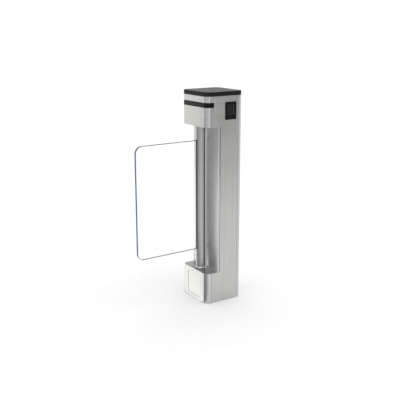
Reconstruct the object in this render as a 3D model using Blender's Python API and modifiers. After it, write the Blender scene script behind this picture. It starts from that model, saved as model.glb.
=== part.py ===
"""Swing barrier gate: a slim steel pillar with one clear wing that swings both ways.

Metres, +Z up. The origin is the middle of the footprint, on the floor. The lane lies towards -X, and the
side with the card reader faces -Y. At rest the wing stands across the lane, along -X.
"""

import math

import bmesh
import bpy

# Cabinet, outside sizes
cabinet_width = 0.202
cabinet_depth = 0.206
cabinet_height = 1.0
base_height = 0.150
head_height = 0.158
top_cover_height = 0.0187
corner_radius = 0.025

# Sheet metal
sheet = 0.0015
bend_radius = 0.002
return_depth = 0.012
joint_margin = 0.003
joint_gap = 0.0004
seat_gap = 0.0003
merge_distance = 0.00003
floor_gap = 0.001
overrun = 0.006
bend_steps = 4
sharp_edge_angle = 35.0
rounded_edge_angle = 50.0
tray_bend_radius = 0.0016
tray_bend_steps = 2
corner_steps = 8

# Wing recess and column face
recess_setback = 0.0734
recess_joint = 0.003
column_depth = 0.0307
groove_gap = 0.0035
groove_lip_radius = 0.003
column_flat = 0.0014
groove_steps = 24
lap_length = 0.012
joggle_length = 0.0022

# Base plate, base deck and head floor
base_plate_thickness = 0.008
anchor_inset_x = 0.027
anchor_inset_y = 0.028
anchor_slot_width = 0.014
anchor_slot_length = 0.024
cable_hole_radius = 0.018
cable_hole_inset = 0.046
deck_thickness = 0.003
deck_reach = 0.118
cable_notch_radius = 0.012
cable_notch_inset = 0.022

# Inset cover of the base
access_side_margin = 0.0237
access_low = 0.0187
access_head_margin = 0.0197
access_gap = 0.0004
access_setback = 0.0008
access_return = 0.010

# Light band and its board
band_drop = 0.0689
band_height = 0.0218
band_thickness = 0.003
band_tail = 0.014
board_thickness = 0.0016
light_board_side_margin = 0.008
light_board_inset = 0.0019

# Card reader
reader_width = 0.0612
reader_height = 0.0806
reader_back_inset = 0.0403
reader_proud = 0.002
reader_skirt = 0.006
reader_frame = 0.0025
reader_corner = 0.003
window_left_margin = 0.0118
window_right_margin = 0.0208
window_foot_margin = 0.0212
window_head_margin = 0.0134
window_thickness = 0.001
reader_light_width = 0.003
reader_light_inset = 0.003
reader_light_gap = 0.0035
reader_ledge_height = 0.004
reader_ledge_proud = 0.002
reader_ledge_low = 0.006
reader_module_depth = 0.018
reader_module_inset = 0.006

# Top cover
cover_wall = 0.003
cover_roof = 0.004
cover_edge_round = 0.0012
panel_margin = 0.007
panel_thickness = 0.0012
boss_radius = 0.004
boss_length = 0.016
boss_inset = 0.016
boss_steps = 12

# Pivot tube and its fittings
tube_setback = 0.0358
tube_radius = 0.0233
tube_wall = 0.002
tube_gap = 0.002
tube_steps = 40
collar_wall = 0.0020
collar_height = 0.008
collar_chamfer = 0.001
hub_flange = 0.008
hub_boss_radius = 0.018
hub_height = 0.022
shaft_radius = 0.010
shaft_shoulder = 0.0015
running_gap = 0.0002
top_pivot_radius = 0.008

# Wing
wing_reach = 0.3451
wing_foot_gap = 0.1002
wing_head_gap = 0.0678
wing_thickness = 0.010
wing_corner = 0.033
wing_tongue = 0.010
wing_edge_round = 0.0008
gasket_wall = 0.0013
gasket_lip = 0.0012
slot_end_gap = 0.0012
clamp_thickness = 0.006
clamp_tube_gap = 0.004
clamp_end_inset = 0.020
clamp_edge_round = 0.001

# Bearings and housings
housing_flange = 0.006
housing_lip = 0.0045
housing_wall = 0.0035
bearing_race = 0.0065
bearing_height = 0.009
bearing_groove = 0.0006
race_edge_share = 0.28

# Gear drive
gear_wall_gap = 0.0068
drive_teeth = 44
pinion_teeth = 22
gear_face = 0.012
gear_foot_gap = 0.0067
gear_head_gap = 0.002
gear_hub_radius = 0.017
gear_hub_extra = 0.004
tooth_backlash = 0.0003
pressure_angle = 20.0
flank_steps = 2
addendum_share = 1.0
dedendum_share = 1.25
motor_shaft_radius = 0.005
pinion_hub_radius = 0.010

# Stop arm and bumpers
arm_gap = 0.003
arm_thickness = 0.008
arm_wall_gap = 0.0062
arm_half_width = 0.005
arm_hub_radius = 0.0145
bumper_radius = 0.005
bumper_tip_inset = 0.007
ear_width = 0.012
ear_margin = 0.002
retainer_radius = 0.016
retainer_height = 0.010
retainer_gap = 0.001

# Motor and its bracket
bracket_thickness = 0.003
bracket_side_gap = 0.0015
bracket_foot = 0.012
bracket_front = 0.0135
bracket_behind = 0.026
pilot_radius = 0.011
pilot_height = 0.002
gearbox_radius = 0.022
gearbox_height = 0.034
motor_radius = 0.0195
motor_headroom = 0.0077
motor_seam_depth = 0.0012
motor_seam_height = 0.0016
motor_cap_radius = 0.012
motor_cap_height = 0.004
motor_bore_depth = 0.010
turned_steps = 24
pin_steps = 16

# Encoder on the top pivot
encoder_radius = 0.018
encoder_height = 0.020
encoder_lid_radius = 0.012
encoder_lid_height = 0.003
encoder_roof = 0.002
encoder_side_gap = 0.003
encoder_foot_gap = 0.005
encoder_bracket_width = 0.030
encoder_bracket_foot = 0.008
encoder_bracket_sheet = 0.002

# Equipment in the column
equipment_gap = 0.0026
equipment_return = 0.016
equipment_headroom = 0.052
supply_width = 0.100
supply_height = 0.160
supply_depth = 0.036
supply_edge_round = 0.0015
vent_count = 8
vent_width = 0.003
vent_length = 0.060
vent_depth = 0.002
board_width = 0.120
board_height = 0.170
standoff_height = 0.008
standoff_radius = 0.004
standoff_inset = 0.008
standoff_steps = 12
relay_count = 4
relay_width = 0.016
relay_height = 0.020
relay_depth = 0.014
relay_pitch = 0.026
board_plug_height = 0.010
board_plug_width = 0.080
strip_width = 0.120
strip_height = 0.024
strip_depth = 0.022
well_count = 10
well_width = 0.007
well_height = 0.012
well_depth = 0.008
grommet_flange = 0.004
grommet_lip = 0.003
grommet_bore = 0.012
stud_radius = 0.004
stud_height = 0.022
stud_nut_radius = 0.008
stud_nut_height = 0.006
stud_inset_x = 0.039
stud_inset_y = 0.053

# Service door
door_low = 0.200
door_head_margin = 0.200
door_side_margin = 0.010
door_gap = 0.001
hinge_side_gap = 0.0015
door_return = 0.012
hinge_axis_depth = 0.005
hinge_axis_inset = 0.007
hinge_pin_radius = 0.0022
hinge_pin_length = 0.016
hinge_pin_taper = 0.0008
hinge_tab_reach = 0.014
hinge_tab_width = 0.014
hinge_leaf_height = 0.016
hinge_tab_sheet = 0.002
lock_inset = 0.013
lock_head_radius = 0.009
lock_head_proud = 0.0018
lock_body_radius = 0.0075
lock_body_length = 0.0155
key_slot_width = 0.0016
key_slot_length = 0.008
key_slot_depth = 0.003
cam_thickness = 0.0022
cam_length = 0.024
cam_half_width = 0.005
cam_hub_radius = 0.008

# Places worked out from the sizes above
half_width = cabinet_width / 2
half_depth = cabinet_depth / 2
joint_inset = corner_radius + joint_margin
joint_x = half_width - joint_inset
inside_y = half_depth - sheet - seat_gap
plate_inset = bend_radius + seat_gap
plate_top = base_plate_thickness + seat_gap
deck_under = base_height - deck_thickness
rim_height = cabinet_height - top_cover_height
head_low = cabinet_height - head_height
head_floor_top = head_low + deck_thickness + 2 * seat_gap
tube_axis = -half_width + tube_setback
tube_low = base_height + tube_gap
tube_high = head_low - tube_gap
groove_radius = tube_radius + groove_gap
collar_radius = tube_radius + collar_wall
recess_x = -half_width + recess_setback
recess_edge_x = recess_x + recess_joint
column_face_x = recess_x - column_depth
wing_low = base_height + wing_foot_gap
wing_height = head_low - wing_head_gap - wing_low
gasket_half = wing_thickness / 2 + seat_gap + gasket_wall
clamp_outer = gasket_half + seat_gap + clamp_thickness
clamp_front = -math.sqrt((tube_radius - tube_wall - clamp_tube_gap) ** 2 - clamp_outer ** 2)
shaft_journal_radius = shaft_radius - shaft_shoulder

access_width = cabinet_depth - 2 * (corner_radius + access_side_margin)
access_height = base_height - access_low - access_head_margin
band_low = cabinet_height - band_drop
light_board_width = cabinet_depth - 2 * (corner_radius + light_board_side_margin)
reader_low = band_low + band_height - reader_height
reader_x = half_width - reader_back_inset - reader_width
reader_middle_x = reader_x + reader_width / 2
reader_middle_z = reader_low + reader_height / 2
reader_front = -half_depth - seat_gap - reader_proud
window_width = reader_width - window_left_margin - window_right_margin
window_height = reader_height - window_foot_margin - window_head_margin
window_x = reader_x + window_left_margin + window_width / 2
window_z = reader_low + window_foot_margin + window_height / 2
reader_light_x = window_x + window_width / 2 + reader_light_gap + reader_light_width / 2
reader_light_height = window_height - 2 * reader_light_inset

drive_pitch_radius = tube_setback - sheet - gear_wall_gap
gear_module = 2 * drive_pitch_radius / drive_teeth
motor_axis = tube_axis + gear_module * (drive_teeth + pinion_teeth) / 2
lower_housing_top = plate_top + housing_flange + bearing_height
gear_low = lower_housing_top + gear_foot_gap + gear_hub_extra
gear_high = gear_low + gear_face + gear_hub_extra
bracket_under = gear_high + gear_head_gap
bracket_top = bracket_under + bracket_thickness
bracket_half_span = drive_pitch_radius + gear_module * addendum_share + bracket_side_gap
bracket_front_x = tube_axis + bracket_front
arm_low = bracket_top + arm_gap
arm_middle = arm_low + arm_thickness / 2
arm_length = tube_setback - access_setback - sheet - arm_wall_gap
bumper_offset = arm_length - bumper_tip_inset
ear_top = arm_middle + bumper_radius + ear_margin
deck_bearing_low = deck_under - seat_gap - housing_flange - bearing_height
retainer_low = deck_bearing_low - retainer_gap - retainer_height
motor_low = bracket_top + seat_gap
motor_high = deck_under - motor_headroom
encoder_bracket_under = head_floor_top + housing_flange + bearing_height + encoder_foot_gap
encoder_low = encoder_bracket_under + encoder_bracket_sheet + seat_gap
top_pivot_high = encoder_low + encoder_height - encoder_roof - seat_gap

equipment_x = recess_edge_x + lap_length + equipment_gap
equipment_back = equipment_x + sheet + seat_gap
equipment_low = base_height + seat_gap
equipment_height = head_low - base_height - equipment_headroom
equipment_space = (equipment_height - supply_height - strip_height - board_height) / 4
supply_low = equipment_low + equipment_space
strip_low = supply_low + supply_height + equipment_space
board_low = strip_low + strip_height + equipment_space

door_high = cabinet_height - door_head_margin
door_height = door_high - door_low
door_middle_z = door_low + door_height / 2
door_width = cabinet_depth - 2 * (corner_radius + door_side_margin)
hinge_axis_x = half_width - hinge_axis_depth
hinge_axis_y = door_width / 2 - hinge_side_gap - hinge_axis_inset
lock_y = -door_width / 2 + lock_inset

lying_rotation = (math.pi / 2, 0, 0)
sideways_rotation = (math.pi / 2, 0, math.pi / 2)


def clear_scene():
    """Remove what the scene holds and the meshes that it leaves."""
    for old in list(bpy.data.objects):
        bpy.data.objects.remove(old, do_unlink=True)


def new_collection(name):
    collection = bpy.data.collections.new(name)
    bpy.context.scene.collection.children.link(collection)
    return collection


clear_scene()
gate = new_collection("swing_barrier_gate")
cutters = new_collection("cutters")


def material(name, colour, roughness, metallic):
    """A Principled material of one colour."""
    made = bpy.data.materials.new(name)
    made.use_nodes = True
    shader = made.node_tree.nodes["Principled BSDF"]
    shader.inputs["Base Color"].default_value = (*colour, 1.0)
    shader.inputs["Roughness"].default_value = roughness
    shader.inputs["Metallic"].default_value = metallic
    return made


def brushed_steel(name):
    return material(name, (0.62, 0.62, 0.63), 0.32, 1.0)


def polished_steel(name):
    return material(name, (0.75, 0.76, 0.78), 0.12, 1.0)


def plain_steel(name):
    return material(name, (0.45, 0.46, 0.48), 0.4, 1.0)


def zinc_plate(name):
    return material(name, (0.58, 0.60, 0.62), 0.42, 0.9)


def cast_aluminium(name):
    return material(name, (0.66, 0.67, 0.69), 0.5, 0.9)


def black_gloss(name):
    return material(name, (0.012, 0.012, 0.013), 0.12, 0.0)


def black_plastic(name):
    return material(name, (0.02, 0.02, 0.022), 0.45, 0.0)


def grey_gloss(name):
    return material(name, (0.17, 0.17, 0.17), 0.18, 0.0)


def black_rubber(name):
    return material(name, (0.018, 0.018, 0.018), 0.8, 0.0)


def clear_acrylic(name):
    """Clear acrylic with a slight blue tint."""
    made = material(name, (0.85, 0.94, 0.98), 0.05, 0.0)
    made.node_tree.nodes["Principled BSDF"].inputs["Transmission Weight"].default_value = 0.95
    return made


def board_green(name):
    return material(name, (0.02, 0.16, 0.06), 0.4, 0.0)


def terminal_green(name):
    return material(name, (0.05, 0.32, 0.10), 0.4, 0.0)


def empty(name, place, parent=None):
    """An empty that carries the pieces of one body, on that body's joint axis."""
    made = bpy.data.objects.new(name, None)
    made.location = place
    made.parent = parent
    gate.objects.link(made)
    return made


def settle(made, parent, finish):
    """Parent a piece, give it its own material and shade its round sides smooth."""
    made.parent = parent
    made.data.materials.clear()
    made.data.materials.append(finish(made.name + "_finish"))
    made.data.shade_smooth()
    made.data.set_sharp_from_angle(angle=math.radians(sharp_edge_angle))
    return made


def hide_as_cutter(made):
    """Keep an object as a tool of a Boolean and not as a piece."""
    made.hide_render = True
    made.display_type = "WIRE"
    return made


def mesh_object(name, shape, collection, place=(0, 0, 0), rotation=(0, 0, 0)):
    """Turn a bmesh into an object."""
    mesh = bpy.data.meshes.new(name)
    shape.to_mesh(mesh)
    shape.free()
    made = bpy.data.objects.new(name, mesh)
    made.location = place
    made.rotation_euler = rotation
    collection.objects.link(made)
    return made


def box(name, size, place, collection=None):
    """A box of three sizes, centred on its place."""
    shape = bmesh.new()
    bmesh.ops.create_cube(shape, size=1)
    bmesh.ops.scale(shape, vec=size, verts=shape.verts)
    return mesh_object(name, shape, collection or gate, place)


def span_box(name, low, high, collection=None):
    """A box between two corners."""
    size = [b - a for a, b in zip(low, high)]
    middle = [(a + b) / 2 for a, b in zip(low, high)]
    return box(name, size, middle, collection)


def rod(name, radius, length, place, rotation=(0, 0, 0), collection=None, steps=turned_steps):
    """A cylinder centred on its place, along +Z before its rotation."""
    shape = bmesh.new()
    bmesh.ops.create_cone(
        shape, cap_ends=True, segments=steps, radius1=radius, radius2=radius, depth=length
    )
    return mesh_object(name, shape, collection or gate, place, rotation)


def arc(centre, radius, start, end, steps):
    """Points of an arc from one angle to another, in degrees."""
    angles = [math.radians(start + (end - start) * step / steps) for step in range(steps + 1)]
    return [(centre[0] + radius * math.cos(a), centre[1] + radius * math.sin(a)) for a in angles]


def half_turn(points):
    """The same outline turned by half a turn about the origin."""
    return [(-x, -y) for x, y in points]


def rounded_outline(width, depth, radius, centre=(0, 0)):
    """A rectangle with four round corners."""
    x = width / 2 - radius
    y = depth / 2 - radius
    points = []
    for quarter, (sx, sy) in enumerate([(1, 1), (-1, 1), (-1, -1), (1, -1)]):
        corner = (centre[0] + sx * x, centre[1] + sy * y)
        points += arc(corner, radius, 90 * quarter, 90 * quarter + 90, corner_steps)
    return points


def circle(radius, centre=(0, 0), steps=turned_steps):
    return arc(centre, radius, 0, 360, steps)[:-1]


def slot_outline(length, width, centre):
    """A slot with round ends, long along Y."""
    reach = length / 2 - width / 2
    top = arc((centre[0], centre[1] + reach), width / 2, 0, 180, corner_steps)
    bottom = arc((centre[0], centre[1] - reach), width / 2, 180, 360, corner_steps)
    return top + bottom


def plate(name, outlines, thickness, place, rotation=(0, 0, 0), collection=None):
    """A flat plate: filled outlines, the first of them outside and the rest its holes."""
    curve = bpy.data.curves.new(name + "_outline", "CURVE")
    curve.dimensions = "2D"
    curve.fill_mode = "BOTH"
    curve.extrude = thickness / 2
    for outline in outlines:
        spline = curve.splines.new("POLY")
        spline.points.add(len(outline) - 1)
        for point, (x, y) in zip(spline.points, outline):
            point.co = (x, y, 0, 1)
        spline.use_cyclic_u = True
    drawn = bpy.data.objects.new(name + "_outline", curve)
    drawn.location = place
    drawn.rotation_euler = rotation
    gate.objects.link(drawn)
    bpy.context.view_layer.update()
    graph = bpy.context.evaluated_depsgraph_get()
    mesh = bpy.data.meshes.new_from_object(drawn.evaluated_get(graph))
    shape = bmesh.new()
    shape.from_mesh(mesh)
    bmesh.ops.remove_doubles(shape, verts=shape.verts, dist=merge_distance)
    bmesh.ops.recalc_face_normals(shape, faces=shape.faces)
    shape.to_mesh(mesh)
    shape.free()
    made = bpy.data.objects.new(name, mesh)
    (collection or gate).objects.link(made)
    made.matrix_world = drawn.matrix_world
    bpy.data.objects.remove(drawn, do_unlink=True)
    return made


def ribbon(name, path, length, thickness, place, rotation=(0, 0, 0), collection=None):
    """A folded sheet: a path in plan drawn out along +Z, its outside on the right of the path."""
    shape = bmesh.new()
    verts = [shape.verts.new((x, y, 0)) for x, y in path]
    edges = [shape.edges.new(pair) for pair in zip(verts, verts[1:])]
    raised = bmesh.ops.extrude_edge_only(shape, edges=edges)["geom"]
    lifted = [item for item in raised if isinstance(item, bmesh.types.BMVert)]
    bmesh.ops.translate(shape, vec=(0, 0, length), verts=lifted)
    shape.normal_update()
    first = edges[0].link_faces[0]
    run_x = path[1][0] - path[0][0]
    run_y = path[1][1] - path[0][1]
    if first.normal.x * run_y - first.normal.y * run_x < 0:
        bmesh.ops.reverse_faces(shape, faces=shape.faces)
    made = mesh_object(name, shape, collection or gate, place, rotation)
    thicken(made, thickness)
    return made


def thicken(made, thickness):
    """Give an open surface its wall, on the side away from its normals."""
    wall = made.modifiers.new("wall", "SOLIDIFY")
    wall.thickness = thickness
    wall.offset = -1
    wall.use_even_offset = True


def turned(name, profile, place, rotation=(0, 0, 0), closed=False, steps=turned_steps, collection=None):
    """A turned shape: a profile of radius and height, outer side top to bottom, round +Z."""
    shape = bmesh.new()
    verts = [shape.verts.new((radius, 0, height)) for radius, height in profile]
    for pair in zip(verts, verts[1:]):
        shape.edges.new(pair)
    if closed:
        shape.edges.new((verts[-1], verts[0]))
    made = mesh_object(name, shape, collection or gate, place, rotation)
    screw = made.modifiers.new("turn", "SCREW")
    screw.steps = steps
    screw.render_steps = steps
    screw.use_merge_vertices = True
    screw.merge_threshold = merge_distance
    return made


def ring(name, inner, outer, height, place, **options):
    """A plain ring that stands on its place."""
    profile = [(outer, height), (outer, 0), (inner, 0), (inner, height)]
    return turned(name, profile, place, closed=True, **options)


def use_tool(made, tool, operation):
    """Cut or join a piece with another object, which becomes a hidden tool."""
    step = made.modifiers.new(tool.name, "BOOLEAN")
    step.operation = operation
    step.solver = "EXACT"
    step.object = tool
    hide_as_cutter(tool)


def cut(made, *tools):
    for tool in tools:
        use_tool(made, tool, "DIFFERENCE")


def join(made, *tools):
    for tool in tools:
        use_tool(made, tool, "UNION")


def round_edges(made, width, segments=1):
    """Round the sharp edges of a piece."""
    bevel = made.modifiers.new("round", "BEVEL")
    bevel.width = width
    bevel.segments = segments
    bevel.limit_method = "ANGLE"
    bevel.angle_limit = math.radians(rounded_edge_angle)


def side_panel_path():
    """The plan of a side panel: a flat sheet with a return along each edge."""
    fold = joint_x - joint_gap / 2
    inner = -half_depth + return_depth
    near = -half_depth + bend_radius
    path = [(-fold, inner)]
    path += arc((-fold + bend_radius, near), bend_radius, 180, 270, bend_steps)
    path += arc((fold - bend_radius, near), bend_radius, 270, 360, bend_steps)
    return path + [(fold, inner)]


def wrap_cover_path():
    """The plan of a cover that wraps two corners of the cabinet, drawn for the +X side."""
    fold = joint_x + joint_gap / 2
    inner = half_depth - return_depth
    near = half_depth - bend_radius
    corner_x = half_width - corner_radius
    corner_y = half_depth - corner_radius
    path = [(fold, -inner)]
    path += arc((fold + bend_radius, -near), bend_radius, 180, 270, bend_steps)
    path += arc((corner_x, -corner_y), corner_radius, 270, 360, corner_steps)
    path += arc((corner_x, corner_y), corner_radius, 0, 90, corner_steps)
    path += arc((fold + bend_radius, near), bend_radius, 90, 180, bend_steps)
    return path + [(fold, inner)]


def band_path(offset):
    """The plan of the light band round the lane side, moved out by an offset."""
    end = -half_width + corner_radius + band_tail
    corner_x = -half_width + corner_radius
    corner_y = half_depth - corner_radius
    radius = corner_radius + offset
    path = [(end, half_depth + offset)]
    path += arc((corner_x, corner_y), radius, 90, 180, corner_steps)
    path += arc((corner_x, -corner_y), radius, 180, 270, corner_steps)
    return path + [(end, -half_depth - offset)]


def column_face_path():
    """The plan of the column face: laps, wide oval sweeps and a groove round the tube.

    The lip between face and groove is an arc that touches both: its centre lies one lip radius behind
    the face and one lip radius outside the groove's circle. A sweep is a quarter of an ellipse, the
    column's depth along X and most of its half width along Y.
    """
    lip_x = column_face_x + groove_lip_radius
    lip_y = math.sqrt((groove_radius + groove_lip_radius) ** 2 - (lip_x - tube_axis) ** 2)
    lip_angle = math.degrees(math.atan2(lip_y, lip_x - tube_axis))
    sweep = half_depth - lip_y - column_flat
    joggle = recess_edge_x - joint_gap
    upper = [(recess_edge_x + lap_length, inside_y), (joggle, inside_y)]
    upper += [(joggle - joggle_length, half_depth)]
    upper += [
        (recess_x + column_depth * x, half_depth - sweep + sweep * y)
        for x, y in arc((0, 0), 1, 90, 180, corner_steps)
    ]
    upper += arc((lip_x, lip_y), groove_lip_radius, 180, 180 + lip_angle, bend_steps)
    groove = arc((tube_axis, 0), groove_radius, lip_angle, -lip_angle, groove_steps)[1:-1]
    lower = [(x, -y) for x, y in reversed(upper)]
    return upper + groove + lower


def deck_outline():
    """The outline shared by the base deck and the head floor, inside the panels."""
    lane = -half_width + plate_inset
    side = half_depth - plate_inset
    radius = corner_radius - plate_inset
    back = -half_width + deck_reach
    outline = [(back, -side), (back, side)]
    outline += arc((lane + radius, side - radius), radius, 90, 180, corner_steps)
    outline += arc((lane + radius, -side + radius), radius, 180, 270, corner_steps)
    return outline


def arm_outline(hub_radius, length, half_width_of_arm):
    """A hub with one arm towards -X and a round tip."""
    opening = math.degrees(math.asin(half_width_of_arm / hub_radius))
    hub = arc((0, 0), hub_radius, -180 + opening, 180 - opening, turned_steps)
    tip = arc((-length + half_width_of_arm, 0), half_width_of_arm, 90, 270, corner_steps)
    return hub + tip


def involute_point(base_radius, roll, angle):
    """The point of an involute after a roll angle, turned by an angle, both in radians."""
    x = math.cos(roll) + roll * math.sin(roll)
    y = math.sin(roll) - roll * math.cos(roll)
    cos_a = math.cos(angle)
    sin_a = math.sin(angle)
    return base_radius * (x * cos_a - y * sin_a), base_radius * (x * sin_a + y * cos_a)


def gear_outline(teeth, turn):
    """A spur gear's outline with involute flanks, its first tooth's middle at an angle in radians."""
    pitch_radius = gear_module * teeth / 2
    base_radius = pitch_radius * math.cos(math.radians(pressure_angle))
    root_radius = pitch_radius - gear_module * dedendum_share
    tip_radius = pitch_radius + gear_module * addendum_share
    start_radius = max(base_radius, root_radius)
    pitch_roll = math.tan(math.radians(pressure_angle))
    pitch_lead = pitch_roll - math.atan(pitch_roll)
    half_tooth = (math.pi * gear_module / 2 - tooth_backlash) / 2 / pitch_radius
    base_half = half_tooth + pitch_lead
    start_roll = math.sqrt(max((start_radius / base_radius) ** 2 - 1, 0))
    tip_roll = math.sqrt((tip_radius / base_radius) ** 2 - 1)
    rolls = [start_roll + (tip_roll - start_roll) * step / flank_steps for step in range(flank_steps + 1)]
    outline = []
    for tooth in range(teeth):
        middle = turn + 2 * math.pi * tooth / teeth
        rising = [involute_point(base_radius, roll, middle - base_half) for roll in rolls]
        falling = []
        for roll in reversed(rolls):
            x, y = involute_point(base_radius, roll, 0)
            radius = math.hypot(x, y)
            angle = middle + base_half - math.atan2(y, x)
            falling.append((radius * math.cos(angle), radius * math.sin(angle)))
        root_before = middle - base_half
        root_after = middle + base_half
        outline.append((root_radius * math.cos(root_before), root_radius * math.sin(root_before)))
        outline += rising + falling
        outline.append((root_radius * math.cos(root_after), root_radius * math.sin(root_after)))
    return outline


# Empties: the cabinet, and one for each moving body on its joint axis
cabinet = empty("cabinet", (0, 0, 0))
wing_axis = empty("wing_axis", (tube_axis, 0, 0), cabinet)
rotor_axis = empty("rotor_axis", (motor_axis, 0, 0), cabinet)
door_axis = empty("door_axis", (hinge_axis_x, hinge_axis_y, 0), cabinet)
lock_axis = empty("lock_axis", (-hinge_axis_x, lock_y - hinge_axis_y, door_middle_z), door_axis)


def relief_box(name, x, low, high):
    """A tool that shortens the folded returns at one joint, where a plate passes them."""
    reach = half_depth - bend_radius - seat_gap / 2
    low_corner = (x - overrun, -reach, low)
    high_corner = (x + overrun, reach, high)
    return span_box(name, low_corner, high_corner, cutters)


foot_relief_lane = relief_box("foot_relief_lane", -joint_x, -overrun, plate_top)
foot_relief_back = relief_box("foot_relief_back", joint_x, -overrun, plate_top)
deck_relief = relief_box("deck_relief", -joint_x, deck_under - seat_gap, base_height + overrun)
floor_relief = relief_box("floor_relief", -joint_x, head_low - overrun, head_floor_top)
band_slot = ribbon(
    "band_slot",
    band_path(overrun),
    band_height + 2 * seat_gap,
    overrun + band_thickness + seat_gap,
    (0, 0, band_low - seat_gap),
    collection=cutters,
)
hide_as_cutter(band_slot)


def base_plate():
    """A thick steel plate with four slots for floor anchors and a hole for cables."""
    inset = plate_inset
    outline = rounded_outline(cabinet_width - 2 * inset, cabinet_depth - 2 * inset, corner_radius - inset)
    anchor_x = half_width - anchor_inset_x
    anchor_y = half_depth - anchor_inset_y
    holes = [
        slot_outline(anchor_slot_length, anchor_slot_width, (sx * anchor_x, sy * anchor_y))
        for sx in (-1, 1)
        for sy in (-1, 1)
    ]
    holes.append(circle(cable_hole_radius, (half_width - cable_hole_inset, 0)))
    made = plate("base_plate", [outline] + holes, base_plate_thickness, (0, 0, base_plate_thickness / 2))
    settle(made, cabinet, zinc_plate)


def side_panel(name, turn):
    """A flat side of the cabinet, cut back between base and head."""
    made = ribbon(name, side_panel_path(), rim_height - floor_gap, sheet, (0, 0, floor_gap), (0, 0, turn))
    reach = half_depth + overrun
    recess = span_box(
        name + "_recess",
        (-half_width, -reach, base_height),
        (recess_edge_x, reach, head_low),
        cutters,
    )
    cut(made, recess, band_slot, foot_relief_lane, foot_relief_back, deck_relief, floor_relief)
    return made


def reader_side_panel():
    """The user's side, with the cut-out for the card reader."""
    made = side_panel("reader_side_panel", 0)
    frame = 2 * reader_frame
    window = box(
        "reader_cutout",
        (reader_width - frame, 2 * overrun, reader_height - frame),
        (reader_middle_x, -half_depth, reader_middle_z),
        cutters,
    )
    cut(made, window)
    settle(made, cabinet, brushed_steel)


def far_side_panel():
    """The side away from the user."""
    made = side_panel("far_side_panel", math.pi)
    settle(made, cabinet, brushed_steel)


def back_panel():
    """The back of the cabinet, wrapped round two corners, with the doorway."""
    height = rim_height - floor_gap
    made = ribbon("back_panel", wrap_cover_path(), height, sheet, (0, 0, floor_gap))
    doorway = box(
        "doorway",
        (2 * overrun, door_width, door_height),
        (half_width, 0, door_middle_z),
        cutters,
    )
    cut(made, doorway, foot_relief_back)
    settle(made, cabinet, brushed_steel)


def head_lane_cover():
    """The lane side of the head, with the slot for the light band."""
    height = rim_height - head_low
    made = ribbon("head_lane_cover", half_turn(wrap_cover_path()), height, sheet, (0, 0, head_low))
    cut(made, band_slot, floor_relief)
    settle(made, cabinet, brushed_steel)


def base_lane_cover():
    """The lane side of the base, with a window for its inset cover."""
    height = base_height - floor_gap
    made = ribbon("base_lane_cover", half_turn(wrap_cover_path()), height, sheet, (0, 0, floor_gap))
    window = box(
        "access_window",
        (2 * overrun, access_width + 2 * access_gap, access_height + 2 * access_gap),
        (-half_width, 0, access_low + access_height / 2),
        cutters,
    )
    cut(made, window, foot_relief_lane, deck_relief)
    settle(made, cabinet, brushed_steel)


def tray(name, size, place, open_side):
    """A sheet tray of three sizes, open towards one side along X, its flanges bent round the other side."""
    shape = bmesh.new()
    bmesh.ops.create_cube(shape, size=1)
    bmesh.ops.scale(shape, vec=size, verts=shape.verts)
    ends = sorted(shape.faces, key=lambda face: face.calc_center_median().x * open_side)
    bmesh.ops.delete(shape, geom=[ends[-1]], context="FACES_ONLY")
    bmesh.ops.bevel(
        shape, geom=list(ends[0].edges), offset=tray_bend_radius, segments=tray_bend_steps, affect="EDGES"
    )
    made = mesh_object(name, shape, gate, place)
    thicken(made, sheet)
    return made


def base_access_cover():
    """The cover that is let into the lane side of the base."""
    x = -half_width + access_setback + access_return / 2
    place = (x, 0, access_low + access_height / 2)
    made = tray("base_access_cover", (access_return, access_width, access_height), place, 1)
    settle(made, cabinet, brushed_steel)


def base_deck():
    """The top of the base, with the shaft's hole and a notch for cables."""
    notch = (-half_width + deck_reach - cable_notch_inset, half_depth / 2)
    holes = [
        circle(shaft_radius + tube_gap, (tube_axis, 0)),
        circle(cable_notch_radius, notch),
    ]
    place = (0, 0, deck_under + deck_thickness / 2)
    made = plate("base_deck", [deck_outline()] + holes, deck_thickness, place)
    settle(made, cabinet, polished_steel)


def head_floor():
    """The underside of the head, with the pivot's hole and a notch for cables."""
    notch = (-half_width + deck_reach - cable_notch_inset, half_depth / 2)
    holes = [
        circle(top_pivot_radius + tube_gap, (tube_axis, 0)),
        circle(cable_notch_radius, notch),
    ]
    place = (0, 0, head_low + seat_gap + deck_thickness / 2)
    made = plate("head_floor", [deck_outline()] + holes, deck_thickness, place)
    settle(made, cabinet, brushed_steel)


def column_face():
    """The rounded front of the column with its groove round the tube."""
    height = head_low - base_height - seat_gap
    made = ribbon("column_face", column_face_path(), height, sheet, (0, 0, base_height + seat_gap))
    settle(made, cabinet, polished_steel)


def light_band():
    """The glossy black band round the lane side of the head."""
    path = band_path(0)
    path[0] = (path[0][0] - seat_gap, path[0][1])
    path[-1] = (path[-1][0] - seat_gap, path[-1][1])
    made = ribbon("light_band", path, band_height, band_thickness, (0, 0, band_low))
    settle(made, cabinet, black_gloss)


def light_board():
    """The board with lamps and sensors behind the band."""
    x = -half_width + band_thickness + seat_gap + board_thickness / 2
    place = (x, 0, band_low + band_height / 2)
    size = (board_thickness, light_board_width, band_height - 2 * light_board_inset)
    made = box("light_board", size, place)
    settle(made, cabinet, board_green)


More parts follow.
